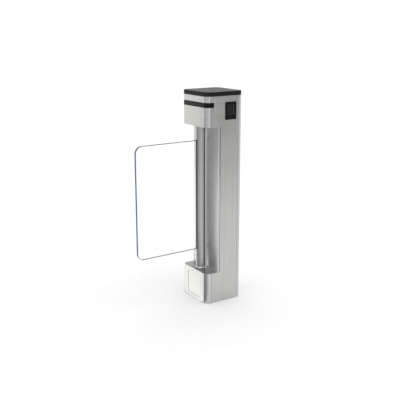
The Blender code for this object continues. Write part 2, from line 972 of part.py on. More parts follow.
def top_cover():
    """The moulded black cap, hollow below, with a shallow bed for its panel and four screw bosses."""
    middle = cabinet_height - (top_cover_height - seat_gap) / 2
    outline = rounded_outline(cabinet_width, cabinet_depth, corner_radius)
    made = plate("top_cover", [outline], top_cover_height - seat_gap, (0, 0, middle))
    round_edges(made, cover_edge_round)
    hollow_outline = rounded_outline(
        cabinet_width - 2 * cover_wall, cabinet_depth - 2 * cover_wall, corner_radius - cover_wall
    )
    hollow_top = cabinet_height - cover_roof
    hollow_low = rim_height - overrun
    hollow_height = hollow_top - hollow_low
    hollow_place = (0, 0, hollow_low + hollow_height / 2)
    hollow = plate("cover_hollow", [hollow_outline], hollow_height, hollow_place, collection=cutters)
    inset = panel_margin - seat_gap
    bed_outline = rounded_outline(cabinet_width - 2 * inset, cabinet_depth - 2 * inset, corner_radius - inset)
    bed_height = panel_thickness + seat_gap + overrun
    bed_place = (0, 0, cabinet_height + overrun - bed_height / 2)
    bed = plate("cover_bed", [bed_outline], bed_height, bed_place, collection=cutters)
    cut(made, hollow, bed)
    boss_top = hollow_top + cover_roof / 2
    for sx in (-1, 1):
        for sy in (-1, 1):
            x = sx * (half_width - boss_inset)
            y = sy * (half_depth - boss_inset)
            place = (x, y, (boss_top + hollow_top - boss_length) / 2)
            length = boss_top - hollow_top + boss_length
            join(made, rod("cover_boss", boss_radius, length, place, collection=cutters, steps=boss_steps))
    settle(made, cabinet, black_plastic)


def top_panel():
    """The grey glossy panel in the top cover."""
    outline = rounded_outline(
        cabinet_width - 2 * panel_margin, cabinet_depth - 2 * panel_margin, corner_radius - panel_margin
    )
    made = plate("top_panel", [outline], panel_thickness, (0, 0, cabinet_height - panel_thickness / 2))
    settle(made, cabinet, grey_gloss)


def reader_bezel():
    """The reader's frame: a proud rim, a skirt through the panel, beds for window and light, a ledge."""
    outline = rounded_outline(reader_width, reader_height, reader_corner)
    middle_y = reader_front + reader_proud / 2
    place = (reader_middle_x, middle_y, reader_middle_z)
    made = plate("reader_bezel", [outline], reader_proud, place, lying_rotation)
    skirt_x = reader_width / 2 - reader_frame - seat_gap
    skirt_z = reader_height / 2 - reader_frame - seat_gap
    skirt = span_box(
        "reader_skirt",
        (reader_middle_x - skirt_x, middle_y, reader_middle_z - skirt_z),
        (reader_middle_x + skirt_x, -half_depth + reader_skirt, reader_middle_z + skirt_z),
        cutters,
    )
    ledge_x = reader_width / 2 - reader_corner
    ledge_low = reader_low + reader_ledge_low
    ledge = span_box(
        "reader_ledge",
        (reader_middle_x - ledge_x, reader_front - reader_ledge_proud, ledge_low),
        (reader_middle_x + ledge_x, middle_y, ledge_low + reader_ledge_height),
        cutters,
    )
    join(made, skirt, ledge)
    cut(
        made,
        reader_bed("window_bed", window_x, window_width, window_height),
        reader_bed("light_bed", reader_light_x, reader_light_width, reader_light_height),
    )
    settle(made, cabinet, black_plastic)


def reader_bed(name, middle_x, width, height):
    """A tool for the shallow bed that a pane lies in, level with the reader's front."""
    x = width / 2 + seat_gap
    z = height / 2 + seat_gap
    bed = window_thickness + 2 * seat_gap
    return span_box(
        name,
        (middle_x - x, reader_front - overrun, window_z - z),
        (middle_x + x, reader_front + bed, window_z + z),
        cutters,
    )


def reader_pane(name, middle_x, width, height, finish):
    """A flat pane in its bed in the reader."""
    place = (middle_x, reader_front + seat_gap + window_thickness / 2, window_z)
    made = box(name, (width, window_thickness, height), place)
    settle(made, cabinet, finish)


def reader_window():
    """The dark pane that cards are held to."""
    reader_pane("reader_window", window_x, window_width, window_height, black_gloss)


def reader_light():
    """The light strip beside the reader's window."""
    reader_pane("reader_light", reader_light_x, reader_light_width, reader_light_height, grey_gloss)


def reader_module():
    """The reader's housing behind the side panel."""
    front = -half_depth + reader_skirt + seat_gap
    place = (reader_middle_x, front + reader_module_depth / 2, reader_middle_z)
    width = reader_width - 2 * reader_module_inset
    height = reader_height - 2 * reader_module_inset
    made = box("reader_module", (width, reader_module_depth, height), place)
    round_edges(made, reader_frame)
    settle(made, cabinet, black_plastic)


def pivot_tube():
    """The round tube that turns with the wing, slotted on the wing's side."""
    length = tube_high - tube_low
    made = ring(
        "pivot_tube", tube_radius - tube_wall, tube_radius, length, (0, 0, tube_low), steps=tube_steps
    )
    slot = span_box(
        "wing_slot",
        (-tube_radius - overrun, -gasket_half - seat_gap, wing_low - slot_end_gap),
        (-tube_radius / 2, gasket_half + seat_gap, wing_low + wing_height + slot_end_gap),
        cutters,
    )
    slot.parent = wing_axis
    cut(made, slot)
    settle(made, wing_axis, polished_steel)


def tube_collar():
    """The bright collar at the tube's foot."""
    inner = tube_radius + seat_gap
    profile = [
        (inner, collar_height),
        (collar_radius - collar_chamfer, collar_height),
        (collar_radius, collar_height - collar_chamfer),
        (collar_radius, 0),
        (inner, 0),
    ]
    made = turned("tube_collar", profile, (0, 0, tube_low), closed=True, steps=tube_steps)
    settle(made, wing_axis, polished_steel)


def tube_hub(name, bore, place, rotation):
    """A disc with a boss that centres a shaft in the tube."""
    outer = tube_radius - tube_wall - seat_gap
    profile = [
        (bore, hub_height),
        (hub_boss_radius, hub_height),
        (hub_boss_radius, hub_flange),
        (outer, hub_flange),
        (outer, 0),
        (bore, 0),
    ]
    made = turned(name, profile, place, rotation, closed=True)
    settle(made, wing_axis, cast_aluminium)


def foot_hub():
    tube_hub("foot_hub", shaft_radius + seat_gap, (0, 0, tube_low + tube_gap), (0, 0, 0))


def top_hub():
    tube_hub("top_hub", top_pivot_radius + seat_gap, (0, 0, tube_high - tube_gap), (math.pi, 0, 0))


def swing_shaft():
    """The shaft from the lower bearing up into the foot hub, with a shoulder on the bearing."""
    low = plate_top + housing_flange
    shoulder = lower_housing_top + seat_gap
    high = tube_low + tube_gap + hub_height
    profile = [
        (0, high - low),
        (shaft_radius, high - low),
        (shaft_radius, shoulder - low),
        (shaft_journal_radius, shoulder - low),
        (shaft_journal_radius, 0),
        (0, 0),
    ]
    made = turned("swing_shaft", profile, (0, 0, low))
    settle(made, wing_axis, plain_steel)


def top_pivot():
    """The pin from the top hub up through the head floor to the encoder."""
    low = tube_high - tube_gap - hub_height
    place = (0, 0, (low + top_pivot_high) / 2)
    made = rod("top_pivot", top_pivot_radius, top_pivot_high - low, place)
    settle(made, wing_axis, plain_steel)


def wing_panel():
    """The clear wing: round corners on its free edge and a square tongue in the tube."""
    low = wing_low + wing_corner
    high = wing_low + wing_height - wing_corner
    free = -wing_reach + wing_corner
    outline = [(wing_tongue, wing_low), (wing_tongue, wing_low + wing_height)]
    outline += arc((free, high), wing_corner, 90, 180, corner_steps)
    outline += arc((free, low), wing_corner, 180, 270, corner_steps)
    made = plate("wing_panel", [outline], wing_thickness, (0, 0, 0), lying_rotation)
    round_edges(made, wing_edge_round)
    settle(made, wing_axis, clear_acrylic)


def wing_gasket():
    """The rubber channel round the wing's tongue, with a narrow lip outside the tube."""
    front = -tube_radius - gasket_lip
    back = wing_tongue + seat_gap + gasket_wall
    path = [(front, -gasket_half), (back, -gasket_half), (back, gasket_half), (front, gasket_half)]
    made = ribbon("wing_gasket", path, wing_height, gasket_wall, (0, 0, wing_low))
    settle(made, wing_axis, black_rubber)


def clamp_bar(name, side):
    """A bar in the tube that presses the gasket on the wing."""
    height = wing_height - 2 * clamp_end_inset
    y = side * (clamp_outer - clamp_thickness / 2)
    place = ((wing_tongue + clamp_front) / 2, y, wing_low + wing_height / 2)
    made = box(name, (wing_tongue - clamp_front, clamp_thickness, height), place)
    round_edges(made, clamp_edge_round)
    settle(made, wing_axis, cast_aluminium)


def bearing(name, bore, place):
    """A ball bearing as one ring, its upper shield set back between the two races."""
    outer = bore + bearing_race
    edge = bearing_race * race_edge_share
    groove = bearing_groove
    profile = [
        (bore, bearing_height),
        (bore + edge, bearing_height),
        (bore + edge, bearing_height - groove),
        (outer - edge, bearing_height - groove),
        (outer - edge, bearing_height),
        (outer, bearing_height),
        (outer, 0),
        (bore, 0),
    ]
    made = turned(name, profile, place, closed=True)
    settle(made, cabinet, plain_steel)


def bearing_housing(name, bore, place, rotation=(0, 0, 0)):
    """A flanged housing with a pocket for its bearing, open away from the flange."""
    pocket = bore + bearing_race + seat_gap
    boss = pocket + housing_wall
    flange = boss + housing_lip
    top = housing_flange + bearing_height
    through = bore + bearing_race * race_edge_share
    profile = [
        (pocket, top),
        (boss, top),
        (boss, housing_flange),
        (flange, housing_flange),
        (flange, 0),
        (through, 0),
        (through, housing_flange - seat_gap),
        (pocket, housing_flange - seat_gap),
    ]
    made = turned(name, profile, place, rotation, closed=True)
    settle(made, cabinet, cast_aluminium)


def lower_bearing_set():
    """The bearing on the base plate, under the swing shaft."""
    bore = shaft_journal_radius + running_gap
    bearing_housing("lower_bearing_housing", bore, (tube_axis, 0, plate_top))
    bearing("lower_bearing", bore, (tube_axis, 0, plate_top + housing_flange))


def deck_bearing_set():
    """The bearing under the base's deck."""
    bore = shaft_radius + running_gap
    bearing_housing("deck_bearing_housing", bore, (tube_axis, 0, deck_under - seat_gap), (math.pi, 0, 0))
    bearing("deck_bearing", bore, (tube_axis, 0, deck_bearing_low))


def head_bearing_set():
    """The bearing on the head's floor, round the top pivot."""
    bore = top_pivot_radius + running_gap
    bearing_housing("head_bearing_housing", bore, (tube_axis, 0, head_floor_top))
    bearing("head_bearing", bore, (tube_axis, 0, head_floor_top + housing_flange))


def drive_gear():
    """The gear on the swing shaft, a tooth space facing the pinion, with a hub above and below."""
    bore = shaft_radius + seat_gap
    outline = gear_outline(drive_teeth, math.pi / drive_teeth)
    place = (0, 0, gear_low + gear_face / 2)
    made = plate("drive_gear", [outline, circle(bore)], gear_face, place)
    hub_low = gear_low - gear_hub_extra
    hub_place = (0, 0, hub_low)
    hub = ring("drive_gear_hub", bore, gear_hub_radius, gear_high - hub_low, hub_place, collection=cutters)
    hub.parent = wing_axis
    join(made, hub)
    settle(made, wing_axis, plain_steel)


def pinion():
    """The pinion on the motor's shaft, one tooth facing the drive gear."""
    bore = motor_shaft_radius + seat_gap
    outline = gear_outline(pinion_teeth, math.pi)
    place = (0, 0, gear_low + gear_face / 2)
    made = plate("pinion", [outline, circle(bore)], gear_face, place)
    hub_place = (0, 0, gear_low - gear_hub_extra)
    hub_height = gear_face + gear_hub_extra
    hub = ring("pinion_hub", bore, pinion_hub_radius, hub_height, hub_place, collection=cutters)
    hub.parent = rotor_axis
    join(made, hub)
    settle(made, rotor_axis, plain_steel)


def motor_shaft():
    """The output shaft of the geared motor."""
    low = gear_low - gear_hub_extra
    high = motor_low + motor_bore_depth - pilot_height
    made = rod("motor_shaft", motor_shaft_radius, high - low, (0, 0, (low + high) / 2))
    settle(made, rotor_axis, plain_steel)


def stop_arm():
    """The arm on the shaft that meets a bumper at each end of the swing."""
    outline = arm_outline(arm_hub_radius, arm_length, arm_half_width)
    bore = circle(shaft_radius + seat_gap)
    made = plate("stop_arm", [outline, bore], arm_thickness, (0, 0, arm_middle))
    settle(made, wing_axis, zinc_plate)


def shaft_retainer():
    """The clamp ring below the deck bearing that keeps the shaft from lifting."""
    place = (0, 0, retainer_low)
    made = ring("shaft_retainer", shaft_radius + seat_gap, retainer_radius, retainer_height, place)
    settle(made, wing_axis, zinc_plate)


def hat_path(span, foot, floor, under):
    """The path of a hat-shaped bracket: a foot, a web, the top, the other web and its foot."""
    outer = span + foot
    return [(-outer, floor), (-span, floor), (-span, under), (span, under), (span, floor), (outer, floor)]


def motor_bracket():
    """A hat-shaped bracket over the gears, with two ears for the bumpers."""
    path = hat_path(bracket_half_span, bracket_foot, plate_top, bracket_under)
    length = motor_axis + bracket_behind - bracket_front_x
    place = (bracket_front_x, 0, 0)
    made = ribbon("motor_bracket", path, length, bracket_thickness, place, sideways_rotation)
    for side in (-1, 1):
        middle = side * bumper_offset
        low_corner = (bracket_front_x, middle - ear_width / 2, bracket_under)
        high_corner = (bracket_front_x + bracket_thickness, middle + ear_width / 2, ear_top)
        join(made, span_box("bumper_ear", low_corner, high_corner, cutters))
    pilot_place = (motor_axis, 0, bracket_top)
    cut(made, rod("pilot_hole", pilot_radius + seat_gap, 2 * overrun, pilot_place, collection=cutters))
    settle(made, cabinet, zinc_plate)


def bumper(name, side):
    """A rubber bumper on its ear, which the stop arm meets at the end of the swing."""
    front = tube_axis + arm_half_width + seat_gap
    back = bracket_front_x - seat_gap
    place = ((front + back) / 2, side * bumper_offset, arm_middle)
    made = rod(name, bumper_radius, back - front, place, sideways_rotation)
    settle(made, cabinet, black_rubber)


def motor():
    """The geared motor: pilot, gearbox, a seam, the motor can and its cap, with a bore for the shaft."""
    bore = motor_shaft_radius + seat_gap
    top_of_box = gearbox_height
    top = motor_high - motor_low
    top_of_can = top - motor_cap_height
    seam = top_of_box + motor_seam_height
    profile = [
        (0, top),
        (motor_cap_radius, top),
        (motor_cap_radius, top_of_can),
        (motor_radius, top_of_can),
        (motor_radius, seam),
        (motor_radius - motor_seam_depth, seam),
        (motor_radius - motor_seam_depth, top_of_box),
        (gearbox_radius, top_of_box),
        (gearbox_radius, 0),
        (pilot_radius, 0),
        (pilot_radius, -pilot_height),
        (bore, -pilot_height),
        (bore, motor_bore_depth),
        (0, motor_bore_depth),
    ]
    made = turned("motor", profile, (motor_axis, 0, motor_low))
    settle(made, cabinet, cast_aluminium)


def encoder_bracket():
    """A small hat-shaped bracket over the head bearing."""
    flange = top_pivot_radius + running_gap + bearing_race + seat_gap + housing_wall + housing_lip
    span = flange + encoder_side_gap + encoder_bracket_sheet
    path = hat_path(span, encoder_bracket_foot, head_floor_top, encoder_bracket_under)
    place = (tube_axis - encoder_bracket_width / 2, 0, 0)
    sheet_thickness = encoder_bracket_sheet
    made = ribbon("encoder_bracket", path, encoder_bracket_width, sheet_thickness, place, sideways_rotation)
    hole_place = (tube_axis, 0, encoder_bracket_under)
    cut(made, rod("encoder_hole", top_pivot_radius + tube_gap, 2 * overrun, hole_place, collection=cutters))
    settle(made, cabinet, zinc_plate)


def encoder():
    """The encoder that reads the wing's angle, with a bore for the pivot."""
    bore = top_pivot_radius + running_gap
    depth = encoder_height - encoder_roof
    high = encoder_height + encoder_lid_height
    profile = [
        (0, high),
        (encoder_lid_radius, high),
        (encoder_lid_radius, encoder_height),
        (encoder_radius, encoder_height),
        (encoder_radius, 0),
        (bore, 0),
        (bore, depth),
        (0, depth),
    ]
    made = turned("encoder", profile, (tube_axis, 0, encoder_low))
    settle(made, cabinet, black_plastic)


def equipment_plate():
    """The mounting plate across the column, with a return along each side panel."""
    back = equipment_x + equipment_return
    path = [(back, inside_y), (equipment_x, inside_y), (equipment_x, -inside_y), (back, -inside_y)]
    made = ribbon("equipment_plate", path, equipment_height, sheet, (0, 0, equipment_low))
    settle(made, cabinet, zinc_plate)


def power_supply():
    """The power supply's metal case with a row of vents."""
    x = equipment_back + supply_depth / 2
    middle_z = supply_low + supply_height / 2
    made = box("power_supply", (supply_depth, supply_width, supply_height), (x, 0, middle_z))
    round_edges(made, supply_edge_round)
    front = equipment_back + supply_depth
    pitch = (supply_width - 2 * vent_width) / vent_count
    for vent in range(vent_count):
        y = pitch * (vent - (vent_count - 1) / 2)
        size = (2 * vent_depth, vent_width, vent_length)
        cut(made, box("supply_vent", size, (front, y, middle_z), cutters))
    settle(made, cabinet, zinc_plate)


def control_board():
    """The control board on four standoffs, with relays and a row of plugs."""
    x = equipment_back + standoff_height + board_thickness / 2
    middle_z = board_low + board_height / 2
    made = box("control_board", (board_thickness, board_width, board_height), (x, 0, middle_z))
    for sy in (-1, 1):
        for sz in (-1, 1):
            y = sy * (board_width / 2 - standoff_inset)
            z = middle_z + sz * (board_height / 2 - standoff_inset)
            length = standoff_height + board_thickness / 2
            place = (equipment_back + length / 2, y, z)
            post = rod("standoff", standoff_radius, length, place, sideways_rotation, cutters, standoff_steps)
            join(made, post)
    face = x + board_thickness / 2
    for relay in range(relay_count):
        y = relay_pitch * (relay - (relay_count - 1) / 2)
        depth = relay_depth + board_thickness / 2
        place = (face - board_thickness / 2 + depth / 2, y, board_low + board_height - relay_height)
        join(made, box("relay", (depth, relay_width, relay_height), place, cutters))
    depth = board_plug_height + board_thickness / 2
    place = (face - board_thickness / 2 + depth / 2, 0, board_low + board_plug_height)
    join(made, box("board_plugs", (depth, board_plug_width, board_plug_height), place, cutters))
    settle(made, cabinet, board_green)


def terminal_strip():
    """The terminal strip with a row of wire wells."""
    x = equipment_back + strip_depth / 2
    middle_z = strip_low + strip_height / 2
    made = box("terminal_strip", (strip_depth, strip_width, strip_height), (x, 0, middle_z))
    front = equipment_back + strip_depth
    pitch = strip_width / well_count
    for well in range(well_count):
        y = pitch * (well - (well_count - 1) / 2)
        cut(made, box("wire_well", (2 * well_depth, well_width, well_height), (front, y, middle_z), cutters))
    settle(made, cabinet, terminal_green)


def cable_grommet():
    """The grommet in the base plate's cable hole."""
    outer = cable_hole_radius - seat_gap
    profile = [
        (grommet_bore, plate_top + grommet_lip),
        (outer + grommet_flange, plate_top + grommet_lip),
        (outer + grommet_flange, plate_top),
        (outer, plate_top),
        (outer, floor_gap),
        (grommet_bore, floor_gap),
    ]
    made = turned("cable_grommet", profile, (half_width - cable_hole_inset, 0, 0), closed=True)
    settle(made, cabinet, black_rubber)


def earth_stud():
    """The earth stud with its nut, on the base plate."""
    profile = [
        (0, stud_height),
        (stud_radius, stud_height),
        (stud_radius, stud_nut_height),
        (stud_nut_radius, stud_nut_height),
        (stud_nut_radius, 0),
        (0, 0),
    ]
    made = turned("earth_stud", profile, (half_width - stud_inset_x, stud_inset_y - half_depth, plate_top))
    settle(made, cabinet, plain_steel)


def access_door():
    """The service door, a tray set in the doorway, with holes for its pins and lock."""
    width = door_width - door_gap - hinge_side_gap
    height = door_height - 2 * door_gap
    place = (hinge_axis_depth - door_return / 2, hinge_axis_inset - width / 2, door_middle_z)
    made = tray("access_door", (door_return, width, height), place, -1)
    pin_hole = rod(
        "hinge_pin_hole",
        hinge_pin_radius + seat_gap,
        door_height + overrun,
        (0, 0, door_middle_z),
        collection=cutters,
        steps=pin_steps,
    )
    lock_hole = rod(
        "lock_hole",
        lock_body_radius + seat_gap,
        2 * overrun,
        (hinge_axis_depth, lock_y - hinge_axis_y, door_middle_z),
        sideways_rotation,
        cutters,
    )
    for tool in (pin_hole, lock_hole):
        tool.parent = door_axis
    cut(made, pin_hole, lock_hole)
    settle(made, door_axis, brushed_steel)


def door_lock():
    """The lock barrel in the door, with its key slot."""
    face = half_width + seat_gap - hinge_axis_x
    profile = [
        (0, lock_head_proud),
        (lock_head_radius, lock_head_proud),
        (lock_head_radius, 0),
        (lock_body_radius, 0),
        (lock_body_radius, -lock_body_length),
        (0, -lock_body_length),
    ]
    place = (face, lock_y - hinge_axis_y, door_middle_z)
    made = turned("door_lock", profile, place, sideways_rotation)
    slot = box(
        "key_slot",
        (2 * key_slot_depth, key_slot_width, key_slot_length),
        (face + lock_head_proud, lock_y - hinge_axis_y, door_middle_z),
        cutters,
    )
    slot.parent = door_axis
    cut(made, slot)
    settle(made, door_axis, polished_steel)


def lock_cam():
    """The lock's cam, hanging down when it is open."""
    x = half_width + seat_gap - lock_body_length - seat_gap - cam_thickness / 2
    outline = [(y, x_) for x_, y in arm_outline(cam_hub_radius, cam_length, cam_half_width)]
    made = plate("lock_cam", [outline], cam_thickness, (x, 0, 0), sideways_rotation)
    settle(made, lock_axis, zinc_plate)


def tab_face(upper):
    """The height of a hinge tab's face next to the door."""
    if upper:
        return door_high - door_gap + seat_gap
    return door_low + door_gap - seat_gap


def hinge_bracket(name, upper):
    """An angle on the inside of the back panel that holds a hinge pin."""
    face_x = half_width - sheet - seat_gap
    inner_x = face_x - hinge_tab_reach
    tab_z = tab_face(upper)
    if upper:
        path = [(inner_x, tab_z), (face_x, tab_z), (face_x, tab_z + hinge_leaf_height)]
    else:
        path = [(face_x, tab_z - hinge_leaf_height), (face_x, tab_z), (inner_x, tab_z)]
    place = (0, hinge_axis_y + hinge_tab_width / 2, 0)
    made = ribbon(name, path, hinge_tab_width, hinge_tab_sheet, place, lying_rotation)
    hole = rod(
        name + "_hole",
        hinge_pin_radius + seat_gap,
        2 * overrun,
        (hinge_axis_x, hinge_axis_y, tab_z),
        collection=cutters,
        steps=pin_steps,
    )
    cut(made, hole)
    settle(made, cabinet, zinc_plate)


def door_pin(name, upper):
    """A hinge pin, flush with its bracket's tab and through the door's return, with a tapered end."""
    turn = 0 if upper else math.pi
    reach = hinge_pin_length
    profile = [
        (0, 0),
        (hinge_pin_radius, 0),
        (hinge_pin_radius, hinge_pin_taper - reach),
        (hinge_pin_radius - hinge_pin_taper, -reach),
        (0, -reach),
    ]
    z = tab_face(upper) + (hinge_tab_sheet if upper else -hinge_tab_sheet)
    made = turned(name, profile, (hinge_axis_x, hinge_axis_y, z), (turn, 0, 0), steps=pin_steps)
    settle(made, cabinet, plain_steel)


def cabinet_pieces():
    base_plate()
    reader_side_panel()
    far_side_panel()
    back_panel()
    head_lane_cover()
    base_lane_cover()
    base_access_cover()
    base_deck()
    head_floor()
    column_face()
    top_cover()
    top_panel()
    cable_grommet()
    earth_stud()


def head_pieces():
    light_band()
    light_board()
    reader_bezel()
    reader_window()
    reader_light()
    reader_module()
    head_bearing_set()
    encoder_bracket()
    encoder()


def wing_pieces():
    pivot_tube()
    tube_collar()
    foot_hub()
    top_hub()
    swing_shaft()
    top_pivot()
    wing_panel()
    wing_gasket()
    clamp_bar("clamp_bar_near", -1)
    clamp_bar("clamp_bar_far", 1)
    drive_gear()
    stop_arm()
    shaft_retainer()


def drive_pieces():
    lower_bearing_set()
    deck_bearing_set()
    motor_bracket()
    motor()
    motor_shaft()
    pinion()
    bumper("bumper_near", -1)
    bumper("bumper_far", 1)


def column_pieces():
    equipment_plate()
    power_supply()
    control_board()
    terminal_strip()


def door_pieces():
    access_door()
    door_lock()
    lock_cam()
    for name, upper in (("upper", True), ("lower", False)):
        hinge_bracket("hinge_bracket_" + name, upper)
        door_pin("door_pin_" + name, upper)


cabinet_pieces()
head_pieces()
wing_pieces()
drive_pieces()
column_pieces()
door_pieces()
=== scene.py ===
"""Looks of the swing barrier gate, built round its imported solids.

Metres, +Z up, in the frame of the solids: the lane lies towards -X and the card reader faces -Y.
New pieces are grids and profiles worked out with numpy. Each is one closed surface.
"""

import bpy
import numpy as np
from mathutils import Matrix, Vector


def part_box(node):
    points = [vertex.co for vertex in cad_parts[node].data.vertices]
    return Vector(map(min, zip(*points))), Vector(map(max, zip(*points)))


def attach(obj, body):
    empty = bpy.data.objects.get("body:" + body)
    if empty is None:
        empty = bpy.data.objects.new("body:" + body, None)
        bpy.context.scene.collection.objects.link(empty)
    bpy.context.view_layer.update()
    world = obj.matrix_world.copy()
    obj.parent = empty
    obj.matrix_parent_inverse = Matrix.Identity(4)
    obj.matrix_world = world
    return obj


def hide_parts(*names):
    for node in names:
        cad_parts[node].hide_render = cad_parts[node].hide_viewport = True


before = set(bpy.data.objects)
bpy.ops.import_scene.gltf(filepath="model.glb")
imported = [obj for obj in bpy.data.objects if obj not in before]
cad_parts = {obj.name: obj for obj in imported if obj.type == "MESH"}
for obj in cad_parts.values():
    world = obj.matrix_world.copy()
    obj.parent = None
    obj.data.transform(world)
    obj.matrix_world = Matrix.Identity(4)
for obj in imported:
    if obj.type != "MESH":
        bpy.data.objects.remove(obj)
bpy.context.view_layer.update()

# Camera of the photograph
camera_place = (-1.8088, -2.5875, 1.2882)
camera_yaw = 33.9263
camera_pitch = 14.4067
camera_lens = 61.385
nearest_seen = 0.05
farthest_seen = 200.0

# Sizes shared with the solids
half_width = 0.101
half_depth = 0.103
corner_radius = 0.025
sheet = 0.0015
bend_radius = 0.002
return_depth = 0.012
joint_x = 0.073
joint_gap = 0.0004
seat_gap = 0.0003
recess_x = -0.0276
recess_edge_x = -0.0246
column_depth = 0.0307
column_flat = 0.0014
groove_lip = 0.003
lap_length = 0.012
joggle_length = 0.0022
tube_axis = -0.0652
tube_radius = 0.0233
tube_wall = 0.002
groove_radius = 0.0268
motor_axis = -0.02395
free_edge_x = -0.4103

# How finely round forms are drawn. support is how far a ring of points lies beside a round edge, to
# keep the flat there flat in the light. sheet_edge rounds the cut edges of a sheet.
corner_steps = 16
bend_steps = 5
groove_steps = 56
tube_steps = 112
edge_steps = 4
support = 0.0002
sheet_edge = 0.00025
smooth_angle = 38.0
bevel_segments = 2
same_place = 1e-7


def photo_camera():
    """The camera of the photograph, fitted to its edges."""
    data = bpy.data.cameras.new("camera")
    data.lens = camera_lens
    data.clip_start = nearest_seen
    data.clip_end = farthest_seen
    camera = bpy.data.objects.new("camera", data)
    camera.location = camera_place
    camera.rotation_euler = (np.radians(90.0 - camera_pitch), 0.0, np.radians(-camera_yaw))
    bpy.context.collection.objects.link(camera)
    bpy.context.scene.camera = camera


photo_camera()


# Node work


class Nodes:
    """A node tree and the coordinates that its textures follow. An input is given as a value or as a
    socket to link from."""

    def __init__(self, tree, vector=None):
        self.tree = tree
        self.vector = vector

    def feed(self, node, inputs):
        """A node's inputs, set or linked."""
        for key, value in inputs.items():
            if isinstance(value, bpy.types.NodeSocket):
                self.tree.links.new(value, node.inputs[key])
            else:
                node.inputs[key].default_value = value

    def add(self, kind, inputs=(), **settings):
        """The outputs of a new node."""
        made = self.tree.nodes.new("ShaderNode" + kind)
        for key, value in settings.items():
            setattr(made, key, value)
        self.feed(made, dict(inputs))
        return made.outputs

    def math(self, operation, first, second, third=0.0, clamp=False):
        """The value of a Math node."""
        inputs = {0: first, 1: second, 2: third}
        return self.add("Math", inputs, operation=operation, use_clamp=clamp)[0]

    def times(self, first, second, clamp=False):
        """The product of two values."""
        return self.math("MULTIPLY", first, second, clamp=clamp)

    def more(self, mask, amount, value):
        """A value, and a mask times an amount on top of it."""
        return self.math("MULTIPLY_ADD", mask, amount, value)

    def carry(self, value, low, high, new_low=0.0, new_high=1.0):
        """A value carried from one range to another, held at the ends."""
        return self.add("MapRange", {0: value, 1: low, 2: high, 3: new_low, 4: new_high})[0]

    def mix(self, factor, first, second):
        """Two colours mixed by a factor, each of them three numbers or a socket."""
        inputs = {0: factor}
        for key, colour in ((6, first), (7, second)):
            inputs[key] = colour if isinstance(colour, bpy.types.NodeSocket) else (*colour, 1.0)
        return self.add("Mix", inputs, data_type="RGBA")[2]

    def noise(self, scale, detail=4.0, roughness=0.6, distortion=0.0):
        """The value of a Noise Texture."""
        inputs = {"Vector": self.vector, "Scale": scale, "Detail": detail}
        inputs.update({"Roughness": roughness, "Distortion": distortion})
        return self.add("TexNoise", inputs)[0]

    def radius(self, x, y):
        """The length of (x, y): how far a point is from an upright axis."""
        plan = self.add("CombineXYZ", {0: x, 1: y, 2: 0.0})[0]
        return self.add("VectorMath", {0: plan}, operation="LENGTH")["Value"]

    def use(self, group, **inputs):
        """The outputs of a node group, given the coordinates and its own inputs."""
        return self.add("Group", {"Vector": self.vector, **inputs}, node_tree=group)


def shared(label, value, form="Float"):
    """Turns the function below it into a node group, built once. The group takes coordinates and one
    more input, and gives what the function returns, by name."""
    def build(function):
        tree = bpy.data.node_groups.new(function.__name__, "ShaderNodeTree")
        wanted = [("Vector", "NodeSocketVector", (0, 0, 0)), (label, "NodeSocket" + form, value)]
        for name, kind, start in wanted:
            socket = tree.interface.new_socket(name=name, in_out="INPUT", socket_type=kind)
            socket.default_value = start
        given = tree.nodes.new("NodeGroupInput").outputs
        results = function(Nodes(tree, given[0]), given[1])
        for name in results:
            tree.interface.new_socket(name=name, in_out="OUTPUT", socket_type="NodeSocketFloat")
        leave = tree.nodes.new("NodeGroupOutput")
        for name, result in results.items():
            tree.links.new(result, leave.inputs[name])
        return tree
    return build


@shared("Stretch", (1, 1, 1), "Vector")
def brushed_grain(nodes, stretch):
    """Long fine scratches along one direction, with a few broader streaks among them."""
    nodes.vector = nodes.add("VectorMath", {0: nodes.vector, 1: stretch}, operation="MULTIPLY")[0]
    return {"Scratch": nodes.noise(1.0, 4.0, 0.65), "Streak": nodes.noise(0.11, 3.0)}


@shared("Size", 1.0)
def smudges(nodes, size):
    """Cloudy marks of wiping and of hands, where the steel shines a little less."""
    scale = nodes.math("DIVIDE", 1.0, size)
    broad = nodes.noise(scale, 5.0, 0.6, 0.6)
    fine = nodes.noise(nodes.times(scale, 7.0), 3.0)
    return {"Mask": nodes.carry(nodes.times(broad, fine), 0.16, 0.38)}


@shared("Amount", 0.5)
def dust(nodes, amount):
    """Fine dust that lies on faces that look up, thicker in patches."""
    normal = nodes.add("NewGeometry")["Normal"]
    upward = nodes.carry(nodes.add("SeparateXYZ", {0: normal})[2], 0.35, 0.95)
    patches = nodes.carry(nodes.noise(38.0, 5.0, 0.62), 0.35, 0.7, 0.15, 1.0)
    specks = nodes.carry(nodes.noise(900.0, 2.0, 0.5), 0.42, 0.62, 0.35, 1.0)
    mask = nodes.times(nodes.times(upward, patches), specks)
    return {"Mask": nodes.times(mask, amount, True)}


@shared("Amount", 0.5)
def edge_wear(nodes, amount):
    """Bare and rubbed spots along outward edges, broken up by noise."""
    edge = nodes.carry(nodes.add("NewGeometry")["Pointiness"], 0.51, 0.58)
    spots = nodes.carry(nodes.noise(260.0, 4.0, 0.7), 0.4, 0.68)
    return {"Mask": nodes.times(nodes.times(edge, spots), amount, True)}


@shared("Size", 0.001)
def moulded_grain(nodes, size):
    """The fine pebbled skin of moulded plastic and the pores of a casting."""
    scale = nodes.math("DIVIDE", 1.0, size)
    cells = nodes.add("TexVoronoi", {"Vector": nodes.vector, "Scale": scale}, feature="SMOOTH_F1")[0]
    pores = nodes.noise(nodes.times(scale, 0.6))
    height = nodes.math("ADD", nodes.times(cells, 0.6), pores)
    return {"Height": height, "Cloud": nodes.noise(nodes.times(scale, 0.02))}


